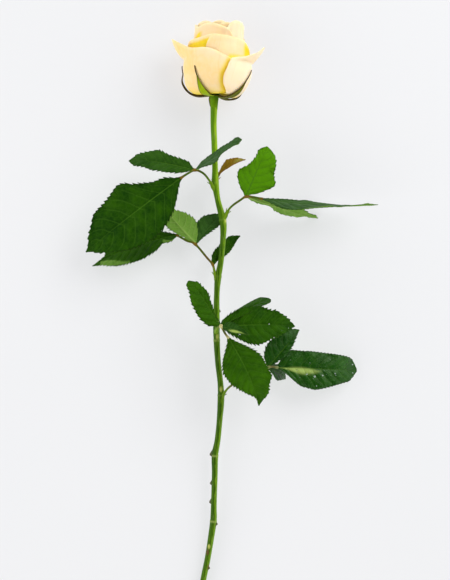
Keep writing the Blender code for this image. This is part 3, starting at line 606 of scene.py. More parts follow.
def newGeometryTree(name, **inputs):
    tree = bpy.data.node_groups.new(name, "GeometryNodeTree")
    for title, kind in ({"Geometry": "Geometry"} | inputs).items():
        tree.interface.new_socket(name=title, in_out="INPUT", socket_type="NodeSocket" + kind)
    tree.interface.new_socket(name="Geometry", in_out="OUTPUT", socket_type="NodeSocketGeometry")
    return tree, tree.nodes.new("NodeGroupInput").outputs, tree.nodes.new("NodeGroupOutput").inputs[0]


def finishTree(tree, geometry, material, out):
    whole = addNode(tree, "GeometryNodeRealizeInstances", {0: geometry}).outputs[0]
    soft = addNode(tree, "GeometryNodeSetShadeSmooth", {"Geometry": whole}).outputs[0]
    dressed = addNode(tree, "GeometryNodeSetMaterial", {"Geometry": soft, "Material": material})
    setSocket(out, dressed.outputs[0])
    return tree


def stored(tree, name, kind="FLOAT"):
    made = addNode(tree, "GeometryNodeInputNamedAttribute", {"Name": name}, data_type=kind)
    return made.outputs["Attribute"]


def makeStemTree():
    tree, given, out = newGeometryTree("stemSkinNodes", Sides="Int", Lumps="Float", Skin="Material")
    curve = addNode(tree, "GeometryNodeMeshToCurve", {"Mesh": given["Geometry"]}).outputs[0]
    circle = {"Resolution": given["Sides"], "Radius": 1.0}
    profile = addNode(tree, "GeometryNodeCurvePrimitiveCircle", circle).outputs["Curve"]
    sweep = {"Curve": curve, "Profile Curve": profile, "Scale": stored(tree, "girth"), "Fill Caps": True}
    skin = addNode(tree, "GeometryNodeCurveToMesh", sweep).outputs[0]
    position = tree.nodes.new("GeometryNodeInputPosition").outputs[0]
    normal = tree.nodes.new("GeometryNodeInputNormal").outputs[0]
    drawn = {0: position, 1: (1.0, 0.16, 1.0)}  # drawn out along the stem
    drawn = addNode(tree, "ShaderNodeVectorMath", drawn, operation="MULTIPLY").outputs[0]
    height = times(minus(noiseAt(tree, drawn, 420.0, 1.5), 0.5), given["Lumps"])
    push = addNode(tree, "ShaderNodeVectorMath", {0: normal, "Scale": height}, operation="SCALE").outputs[0]
    moved = addNode(tree, "GeometryNodeSetPosition", {"Geometry": skin, "Offset": push}).outputs[0]
    return finishTree(tree, moved, given["Skin"], out)


def makeStem():
    rows = throughPoints(stemPlan["path"], np.linspace(0, 1, stemPlan["steps"] + 1))
    x, y, start = rows[:, 0], rows[:, 1], rows[0, :3]
    girth, ring = rows[:, 3] * rose["stemRadius"], np.zeros(len(y))
    for place, strength in stemPlan["rings"]:
        ring = np.maximum(ring, strength * np.exp(-(((y - place) / 0.6) ** 2)))
        # a raised ring with a groove behind it
        girth = girth + stemPlan["ridge"] * np.exp(-(((y - place) / 0.7) ** 2))
        girth = girth - stemPlan["groove"] * np.exp(-(((y - place - 1.5) / 0.6) ** 2))
    mesh = bpy.data.meshes.new("stemPath")
    mesh.from_pydata((rows[:, :3] * mm).tolist(), [(i, i + 1) for i in range(len(y) - 1)], [])
    paintPoints(mesh, "girth", girth * mm)
    paintPoints(mesh, "ring", ring)
    base = putInScene("stemPath", mesh)
    values = {"Sides": stemPlan["sides"], "Lumps": stemPlan["lumps"] * mm * 2, "Skin": stemSkin}
    addModifier(base, makeStemTree(), values)
    stem = meshFromNodes(base, "stemSkin", stemSkin)
    mesh = stem.data
    points = np.empty(len(mesh.vertices) * 3, dtype=np.float32)
    mesh.vertices.foreach_get("co", points)
    points = points.reshape(-1, 3).astype(float) / mm
    # the cut end leans, and nothing goes under the floor
    near = smooth(1 - (points[:, 1] - start[1]) / 5.0)
    points[:, 1] += (points[:, 2] - start[2]) * stemPlan["cutSlant"] * near
    points[:, 2] = np.maximum(points[:, 2], 0.0)
    mesh.vertices.foreach_set("co", (points * mm).astype(np.float32).reshape(-1))
    for title, marks in (("scar", stemPlan["scars"]), ("bud", stemPlan["buds"])):
        shade = np.zeros(len(points))
        for place, side, size in marks:
            centre, radius = stemAt(place)
            away = (points - centre - unit((side[0], 0.0, side[1])) * radius) / (size, size * 1.8, size)
            shade = np.maximum(shade, smooth(1.6 - np.linalg.norm(away, axis=1) * 1.3))
        paintPoints(mesh, title, shade)
    # how far each point lies towards the right flank, where the stem's skin gets painted light
    flank = (points[:, 0] - np.interp(points[:, 1], y, x)) / np.interp(points[:, 1], y, girth)
    paintPoints(mesh, "side", flank)
    mesh.shade_smooth()
    for polygon in mesh.polygons:
        if len(polygon.vertices) > 4:  # the flat caps
            polygon.use_smooth = False
    mesh.update()
    return stem


def makeCutFace():
    # a thin disc set on the leaning cut, dished in front, with the pith pale in its middle
    plan, start, radius = stemPlan["cutFace"], *stemAt(stemPlan["path"][0][1])
    turn = roundTurn(plan["sides"])

    def ringAt(share, lift, dish):
        x, z = share * radius * np.cos(turn), share * radius * np.sin(turn)
        y = z * stemPlan["cutSlant"] + lift + dish * (1 - share**2)
        return np.stack([start[0] + x, start[1] + y, np.maximum(start[2] + z, 0.02)], axis=-1)

    shares = np.linspace(0, plan["reach"], plan["rings"] + 1)
    front = [ringAt(share, plan["front"], plan["dish"]) for share in shares]
    back = [ringAt(share, plan["back"], 0.0) for share in shares]
    pile = newPile()
    radial = np.concatenate([shares[1:], shares[:0:-1]])
    addRings(pile, front[1:] + back[:0:-1], (front[0][0], back[0][0]), {"radial": radial})
    return pieceFrom("stemCutFace", pile, stemPith)


def makeSpurTree():
    # one hooked spur on every point, turned by the point's own directions
    tree, given, out = newGeometryTree("spurNodes", Length="Float", Foot="Float", Tip="Float", Hook="Float",
                                       Sides="Int", Bark="Material")
    cone = addNode(tree, "GeometryNodeMeshCone", {
        "Vertices": given["Sides"], "Side Segments": 5, "Fill Segments": 1, "Radius Top": given["Tip"],
        "Radius Bottom": given["Foot"], "Depth": given["Length"]}).outputs["Mesh"]
    place = splitPlace(tree, tree.nodes.new("GeometryNodeInputPosition").outputs[0])
    share = calc("DIVIDE", place[2], given["Length"])
    lean = times(times(share, share), given["Hook"])
    squeeze = times(place[0], calc("MULTIPLY_ADD", share, -0.9, 1.5))  # the foot is longer along the stem
    bend = {"Geometry": cone, "Offset": joinPlace(tree, plus(lean, squeeze))}
    bent = addNode(tree, "GeometryNodeSetPosition", bend).outputs[0]
    spur = addNode(tree, "GeometryNodeStoreNamedAttribute", {"Geometry": bent, "Name": "tip", "Value": share},
                   data_type="FLOAT", domain="POINT").outputs[0]
    outward, back = stored(tree, "outward", "FLOAT_VECTOR"), stored(tree, "back", "FLOAT_VECTOR")
    up = addNode(tree, "FunctionNodeAlignRotationToVector", {"Vector": outward}, axis="Z").outputs[0]
    aim = {"Rotation": up, "Vector": back}
    turned = addNode(tree, "FunctionNodeAlignRotationToVector", aim, axis="X", pivot_axis="Z").outputs[0]
    points = addNode(tree, "GeometryNodeMeshToPoints", {0: given["Geometry"]}).outputs[0]
    copies = {"Points": points, "Instance": spur, "Rotation": turned, "Scale": stored(tree, "size")}
    placed = addNode(tree, "GeometryNodeInstanceOnPoints", copies).outputs[0]
    return finishTree(tree, placed, given["Bark"], out)


spurTree = makeSpurTree()


def growSpurs(name, spurs, values):  # each spur is its place, outward and backward directions, and size
    places, outward, back, sizes = zip(*spurs)
    mesh = bpy.data.meshes.new(name + "Points")
    mesh.from_pydata((np.asarray(places) * mm).tolist(), [], [])
    paintPoints(mesh, "outward", outward, "FLOAT_VECTOR")
    paintPoints(mesh, "back", back, "FLOAT_VECTOR")
    paintPoints(mesh, "size", sizes)
    base = putInScene(name + "Points", mesh)
    addModifier(base, spurTree, values | {"Bark": spurBark})
    return meshFromNodes(base, name, spurBark)


def makeStubs():
    spurs, sunk = [], stemPlan["stubFoot"]
    for y, side, height in stemPlan["stubs"]:
        centre, radius = stemAt(y)
        out = unit((side[0], 0.0, side[1]))
        spurs.append((centre + out * (radius - sunk), out, (0.0, -1.0, 0.0), (height + sunk) / 1.6))
    shape = {"Length": 1.5 * mm, "Foot": 0.95 * mm, "Tip": 0.34 * mm, "Hook": 0.5 * mm, "Sides": 14}
    return growSpurs("prickleStubs", spurs, shape)


stem = makeStem()
cutFace = makeCutFace()
stubs = makeStubs()
print("stem skin, cut end and prickle stubs ready")


# bloom: each petal is a thin sheet laid on a cup between an outer and a heart profile

bloomPlan = {
    # profiles from claw to rim: distance from the axis, height along it
    "outer": ((3.0, 0.0), (7.6, -1.9), (13.2, -1.9), (17.8, 1.4), (21.0, 6.6), (22.9, 13.0), (22.8, 19.0),
              (22.6, 24.6), (22.9, 30.5)),
    "heart": ((1.0, 1.0), (2.4, 5.0), (4.0, 10.0), (6.0, 16.0), (7.6, 22.0), (8.4, 28.0), (8.2, 34.0),
              (7.2, 39.5), (5.6, 44.5)),
    "bendFrom": 0.76, "thickness": (0.55, 0.26), "rows": 54, "columns": 56, "outerCount": 3,
    "pleats": 0.10, "waves": 0.45,
    "innerCount": 18, "innerTurn": -14.0, "goldenAngle": 137.5, "innerDepths": (0.46, 1.24),
    "innerRows": 36, "innerColumns": 30,
    # where the right-hand petal laps over the others: height, and azimuth in degrees
    "lap": ((0, 20), (2, 16), (6, 12), (11, 12.5), (17, 20), (22, 27)),
}
# turn is the azimuth round the axis in degrees, 0 facing up and 90 to +X; depth is 0 on the outer profile
# and 1 on the heart's; half is the half width in mm; rim and lean run across the petal from -1 to 1
petal = {
    "height": 1.0, "flare": 20, "corner": 10, "narrow": 0.12, "tuck": 0.6, "ruffle": 0.5, "lip": 0.5,
    "left": None, "lean": None, "upturn": 0.0, "hug": 0.0,
    "rim": ((-1.0, 0.7), (-0.85, 0.86), (-0.6, 0.96), (0.0, 1.0), (0.6, 0.96), (0.85, 0.86), (1.0, 0.7)),
    "blush": 0.45, "fade": 0.0, "goldTo": 0.35, "goldSide": 0.0, "warm": 0.0,
}
shownPetals = (
    dict(petal, turn=176, depth=0.02, half=27, height=0.95, flare=0, tuck=0.5, blush=0.6),
    dict(petal, turn=-70, depth=0.02, half=44, narrow=0.0, tuck=-1.3, upturn=0.35, hug=2.3, lip=0.1,
         ruffle=0.15, blush=1.0, fade=-0.2, warm=1.0, goldTo=0.42,
         lean=((-1.0, 5), (-0.6, 14), (-0.4, 38), (-0.16, 41), (-0.05, 32), (0.1, 16), (0.25, 6), (0.5, 2),
               (1.0, 0)),
         rim=((-1.0, 0.84), (-0.6, 0.92), (-0.42, 1.02), (-0.3, 1.085), (-0.2, 1.1), (-0.12, 1.08),
              (0.0, 1.01), (0.1, 0.95), (0.2, 0.91), (0.32, 0.89), (0.5, 0.885), (0.62, 0.86), (0.8, 0.80),
              (1.0, 0.74))),
    dict(petal, turn=86, depth=-0.03, half=26.5, narrow=0.04, tuck=-0.4, upturn=0.2, lip=0.2, ruffle=0.12,
         blush=0.12, goldTo=0.38,
         lean=((-1.0, 0), (-0.86, 10), (-0.76, 34), (-0.6, 43), (-0.25, 40), (0.0, 39), (0.1, 39),
               (0.3, 34), (0.6, 20), (1.0, 5)),
         left=((0.0, 5.0), (0.15, 9.5), (0.27, 15.5), (0.37, 21.5), (0.47, 27.6), (0.58, 30.3), (0.7, 28.6),
               (0.8, 26.0), (0.9, 23.0), (1.0, 20.0)),
         rim=((-1.0, 0.80), (-0.9, 0.82), (-0.8, 0.84), (-0.72, 0.88), (-0.6, 0.94), (-0.45, 1.0),
              (-0.25, 1.04), (-0.08, 1.04), (0.07, 1.02), (0.2, 1.01), (0.4, 0.94), (0.7, 0.88),
              (1.0, 0.8))),
    dict(petal, turn=43, depth=0.13, half=27, height=1.03, flare=4, ruffle=0.2, blush=0.42, fade=-0.38,
         warm=1.0, goldSide=1.0,
         rim=((-1.0, 0.82), (-0.93, 0.93), (-0.8, 0.99), (-0.5, 0.99), (-0.15, 0.96), (0.28, 0.91),
              (0.55, 0.84), (0.82, 0.75), (1.0, 0.66))),
    dict(petal, turn=-132, depth=0.46, half=19, height=0.8, flare=2, corner=0, blush=0.2),
    dict(petal, turn=128, depth=0.32, half=20, height=0.96, flare=6, corner=0, tuck=0.8, blush=0.1),
    dict(petal, turn=-42, depth=0.29, half=22, height=0.92, flare=6, corner=0, goldTo=0.98,
         rim=((-1.0, 0.76), (-0.8, 0.88), (-0.5, 0.93), (0.0, 0.96), (0.5, 1.03), (0.8, 1.0), (1.0, 0.8))),
    dict(petal, turn=-104, depth=0.46, half=18, height=0.8, flare=4, corner=0, goldTo=0.97),
    dict(petal, turn=170, depth=0.36, half=23, height=1.08, flare=12, goldTo=0.7),
    dict(petal, turn=56, depth=0.42, half=15, height=1.12, flare=6, corner=0, blush=0.15, goldTo=0.8),
)
bloomAxis = unit(rose["axis"])
bloomUp = unit(np.array((0.0, 0.0, 1.0)) - bloomAxis * bloomAxis[2])
bloomSide = np.cross(bloomAxis, bloomUp)


def inBloom(radius, turn, height):
    radius, turn, height = np.broadcast_arrays(*(np.asarray(v, float) for v in (radius, turn, height)))
    out = np.cos(turn)[..., None] * bloomUp + np.sin(turn)[..., None] * bloomSide
    return rose["foot"] + bloomAxis * height[..., None] + out * radius[..., None]


def cupAt(depth, v):
    outer, heart = throughPoints(bloomPlan["outer"], v), throughPoints(bloomPlan["heart"], v)
    rise = 1 - (1 - depth) ** 2
    radius = outer[..., 0] * (1 - depth) + heart[..., 0] * depth
    return radius, outer[..., 1] * (1 - rise) + heart[..., 1] * rise


def petalAt(look, u, v):
    u, v = np.broadcast_arrays(u, v)
    bendFrom, depth = bloomPlan["bendFrom"], look["depth"]
    rimLine = throughPoints(look["rim"], np.linspace(0, 1, 121))
    reach = v * look["height"] * (1 + (np.interp(u, rimLine[:, 0], rimLine[:, 1]) - 1) * smooth(v / 0.7))
    radius, height = cupAt(depth, np.minimum(reach, bendFrom))
    startRadius, startHeight = cupAt(depth, bendFrom)
    nearRadius, nearHeight = cupAt(depth, bendFrom - 0.02)
    farRadius, farHeight = cupAt(depth, 1.0)
    slope = math.atan2(startRadius - nearRadius, startHeight - nearHeight)
    share = np.maximum(reach - bendFrom, 0.0) / (1 - bendFrom)
    if look["lean"]:  # the rim folds out at once, by a drawn amount
        bend = np.radians(np.interp(u, *zip(*look["lean"]))) * smooth(share / 0.18)
        bend = bend * (1 + look["upturn"] * (1 - share))
    else:
        bend = np.radians(look["flare"] + look["corner"] * u * u) * share / 2
    radius = radius - look["hug"] * smooth((0.5 - u) / 0.8) * smooth((reach - 0.34) / 0.3)
    rim = share * math.hypot(farRadius - startRadius, farHeight - startHeight)
    radius = radius + rim * np.sin(slope + bend)
    height = height + rim * np.cos(slope + bend)
    height = height + 2.2 * u * u * np.maximum(0.0, 1 - v / 0.35) * v / 0.12 * (1 - depth)
    width = look["half"] * (0.2 + 0.8 * np.sin(np.minimum(v / 0.55, 1.0) * math.pi / 2))
    width = width * (1 - look["narrow"] * smooth((v - 0.55) / 0.45))
    if look["left"]:  # a drawn left margin
        margin = throughPoints(look["left"], np.linspace(0, 1, 121))
        width = np.where(u < 0, np.interp(reach, margin[:, 0], margin[:, 1]), width)
    turn = math.radians(look["turn"]) + u * width / np.maximum(radius + 1.5, 6.0)
    return radius + look["tuck"] * u * smooth(v / 0.3), turn, height


def addPetal(pile, look, number, rows, columns):
    u, v = np.meshgrid(np.linspace(-1, 1, columns + 1), np.linspace(0, 1, rows + 1))
    radius, turn, height = petalAt(look, u, v)
    wave = 1.7 * number
    lip = smooth((v - 0.86) / 0.14)
    ripple = np.sin(3.1 * u + wave) + 0.5 * np.sin(7.3 * u + 2.1 * wave)
    radius = radius + look["ruffle"] * smooth((v - 0.5) / 0.5) * ripple * 0.55
    radius = radius + bloomPlan["pleats"] * v * np.sin(17 * u + wave)  # faint lengthwise pleats
    radius = radius + look["lip"] * lip * lip  # a lip that turns out
    height = height + bloomPlan["waves"] * lip * np.sin(5.2 * u + 2.7 * wave)
    foot, edge = bloomPlan["thickness"]
    thick = (foot + (edge - foot) * v) * (1 - 0.45 * smooth((np.abs(u) - 0.9) / 0.1))
    # warm shade where the right-hand petal laps over
    lap = np.radians(np.interp(height, *zip(*bloomPlan["lap"])))
    warm = look["warm"] * smooth(1 + (turn - lap) / 0.14) * smooth((24 - height) / 3)
    # painted warm shade: gold down one side of the petal, in the fold against its neighbour
    if look["goldSide"] < 0:
        side = -look["goldSide"] * smooth((-0.3 - u) / 0.25) * smooth((0.93 - v) / 0.05)
    else:
        side = look["goldSide"] * smooth((u - 0.14) / 0.2) * smooth((v - 0.5) / 0.15)
    # gold from the claw is the petal's own yellow; where it runs up to the rim, on petals seen through gaps,
    # it is painted shade
    fade = 0.06 if look["goldTo"] > 0.9 else 0.25  # gold up to the rim ends there, other gold fades out
    gold = side + 1 - smooth((v - look["goldTo"] + fade) / fade)
    pale = look["warm"] * smooth((u - 0.2) / 0.4) * smooth((v - 0.7) / 0.3)
    blush = np.clip(look["blush"] + look["fade"] * u, 0, 1) * (1 - 0.6 * pale)
    addSheet(pile, inBloom(radius, turn, height), thick, {
        "across": (u + 1) / 2, "along": v, "depth": number * 0.37, "blush": blush, "gold": gold,
        "warm": warm})


def innerPetals():
    first, last = bloomPlan["innerDepths"]
    for i in range(bloomPlan["innerCount"]):
        share = i / (bloomPlan["innerCount"] - 1)
        outermost = i < 4  # the ones that show beyond the rim of the outer petals
        yield dict(
            petal, turn=bloomPlan["innerTurn"] + bloomPlan["goldenAngle"] * i,
            depth=first + (last - first) * share, half=20 - 11.5 * share, height=1.04 - 0.07 * share,
            flare=-5 if i == 2 else 4 if outermost else 14 - 12 * share, tuck=0.8,
            ruffle=0.4 - 0.25 * share, blush=0.45 - 0.15 * share,
            goldTo=0.78 if outermost else 0.48, goldSide=-1.0 if i == 0 else 0.0)


outerPile, middlePile, heartPile = newPile(), newPile(), newPile()
for number, look in enumerate(shownPetals):
    pile = outerPile if number < bloomPlan["outerCount"] else middlePile
    addPetal(pile, look, number, bloomPlan["rows"], bloomPlan["columns"])
for number, look in enumerate(innerPetals(), len(shownPetals)):
    addPetal(heartPile, look, number, bloomPlan["innerRows"], bloomPlan["innerColumns"])
outerPetals = pieceFrom("outerPetals", outerPile, petalSkin)
middlePetals = pieceFrom("middlePetals", middlePile, petalSkin)
heartPetals = pieceFrom("heartPetals", heartPile, petalSkin)
print("petals ready")


# calyx: the hip and five sepals that follow the cup

calyxPlan = {
    # turn, how far it drifts, length, how far it bends back, and how far it has dried brown
    "sepals": ((-24, -14, 34.0, 0, 0.0), (44, 27, 34.0, 0, 0.75), (-97, 0, 34.0, 0, 0.95),
               (121, 6, 32.0, 0, 0.8), (-172, 0, 14.0, 75, 0.1)),
    "half": 2.9, "clearance": 0.95, "thickness": 0.5, "rows": 60, "columns": 12, "sides": 36,
    # the hip's profile: distance from the axis, height along it
    "hip": ((2.22, -11.0), (2.3, -9.4), (2.36, -8.0), (2.45, -6.5), (2.6, -5.0), (2.75, -3.6), (3.0, -2.6),
            (3.15, -1.8), (3.1, -1.2), (3.0, -0.85)),
}


def petalsRound(azimuth):  # a line round the outside of the outer petals, at one azimuth
    radii, heights = [], []
    u, v = np.meshgrid(np.linspace(-1, 1, 41), np.linspace(0, 0.66, 41))
    for look in shownPetals[:bloomPlan["outerCount"]]:
        radius, turn, height = petalAt(look, u, v)
        aside = np.abs((turn - azimuth + math.pi) % (2 * math.pi) - math.pi) * radius
        near = aside < calyxPlan["half"] + 0.6
        radii.append(radius[near])
        heights.append(height[near])
    near = np.stack([np.concatenate(radii), np.concatenate(heights)], axis=-1)
    angle = np.radians(-95 + 125 * np.arange(49) / 48)
    out = np.stack([np.cos(angle), np.sin(angle)], axis=-1)
    centre = np.array((9.0, 13.0))
    return centre + out * (np.max((near - centre) @ out.T, axis=0) + calyxPlan["clearance"])[:, None]


def addSepal(pile, turn, drift, length, bendBack, dry, number):
    rows, columns = calyxPlan["rows"], calyxPlan["columns"]
    across = np.linspace(-1, 1, columns + 1)
    foot, grid = np.array((2.4, -1.7)), []
    for i in range(rows + 1):
        share = i / rows
        azimuth = math.radians(turn + drift * share * share)
        if bendBack:
            angle = math.radians(90 + bendBack * float(smooth(share * 1.4)))
            place = foot + length * share * np.array((math.sin(angle), math.cos(angle)))
        else:
            run = np.array([foot, (4.6, -2.6)] + [p for p in petalsRound(azimuth) if p[0] > 7.5])
            steps = np.concatenate([[0.0], np.cumsum(np.linalg.norm(np.diff(run, axis=0), axis=1))])
            place = np.array([np.interp(share * length, steps, run[:, k]) for k in (0, 1)])
        half = calyxPlan["half"] * (0.10 + 0.90 * (1 - smooth((share - 0.35) / 0.45)))
        half = half * (0.7 + 0.3 * smooth(share * 5))
        curl = 0.35 * across**2 - 0.25 * np.exp(-((across * half / 0.7) ** 2))  # keeled along its middle
        radius = place[0] + curl * (0.6 if bendBack else 1.0)
        ripple = 1 + 0.05 * math.sin(21 * share + 2 * number)
        grid.append(inBloom(radius, azimuth + across * half * ripple / max(place[0], 3.4), place[1]))
    u, along = np.meshgrid(across, np.linspace(0, 1, rows + 1))
    thick = calyxPlan["thickness"] * (1 + 2.0 * dry * smooth((1 - along) / 0.5) * smooth(along / 0.25))
    thick = thick * (1 - 0.45 * np.abs(u) ** 3) * (1 - 0.35 * along)
    addSheet(pile, np.array(grid), thick, {
        "across": (u + 1) / 2, "along": along, "edge": np.abs(u), "dry": dry * smooth(along / 0.15),
        "hip": 0.0})


def makeCalyx():
    pile, hip = newPile(), np.array(calyxPlan["hip"])
    turn, heights = -roundTurn(calyxPlan["sides"]), hip[:, 1]  # turned so that the faces point outwards
    rings = [inBloom(radius * (1 + 0.02 * np.cos(5 * turn)), turn, height) for radius, height in hip]
    ends = inBloom(0.0, 0.0, heights[[0, -1]])
    rise = (heights - heights[0]) / (heights[-1] - heights[0])
    addRings(pile, rings, ends, {"hip": 1.0, "under": 0.0, "along": rise, "across": 0.0, "edge": 0.0})
    for number, sepal in enumerate(calyxPlan["sepals"]):
        addSepal(pile, *sepal, number)
    return pieceFrom("calyxAndSepals", pile, sepalSkin)


calyx = makeCalyx()
print("calyx ready")


# leaves: paths of the petioles and the leaflets on them

leafPlan = {
    "thickness": 0.36, "toothDepth": 1.5, "toothLean": 0.5, "rootHalf": 0.8, "petiole": 0.75,
    "petioleSides": 14, "petioleSteps": 60, "youngSteps": 22, "knuckle": 0.26, "prickleGap": 4.2,
    "rowsPerTooth": 5, "columns": 22, "bigFrom": 10, "bigVeins": 9.5, "smallVeins": 7.0,
    "veinSink": 0.26, "ribSink": 0.34, "ribSwell": 0.42, "edgeThinner": 0.12,
    "stipule": {"length": 8.0, "half": 1.5, "free": 2.4, "rows": 24, "columns": 5},
}
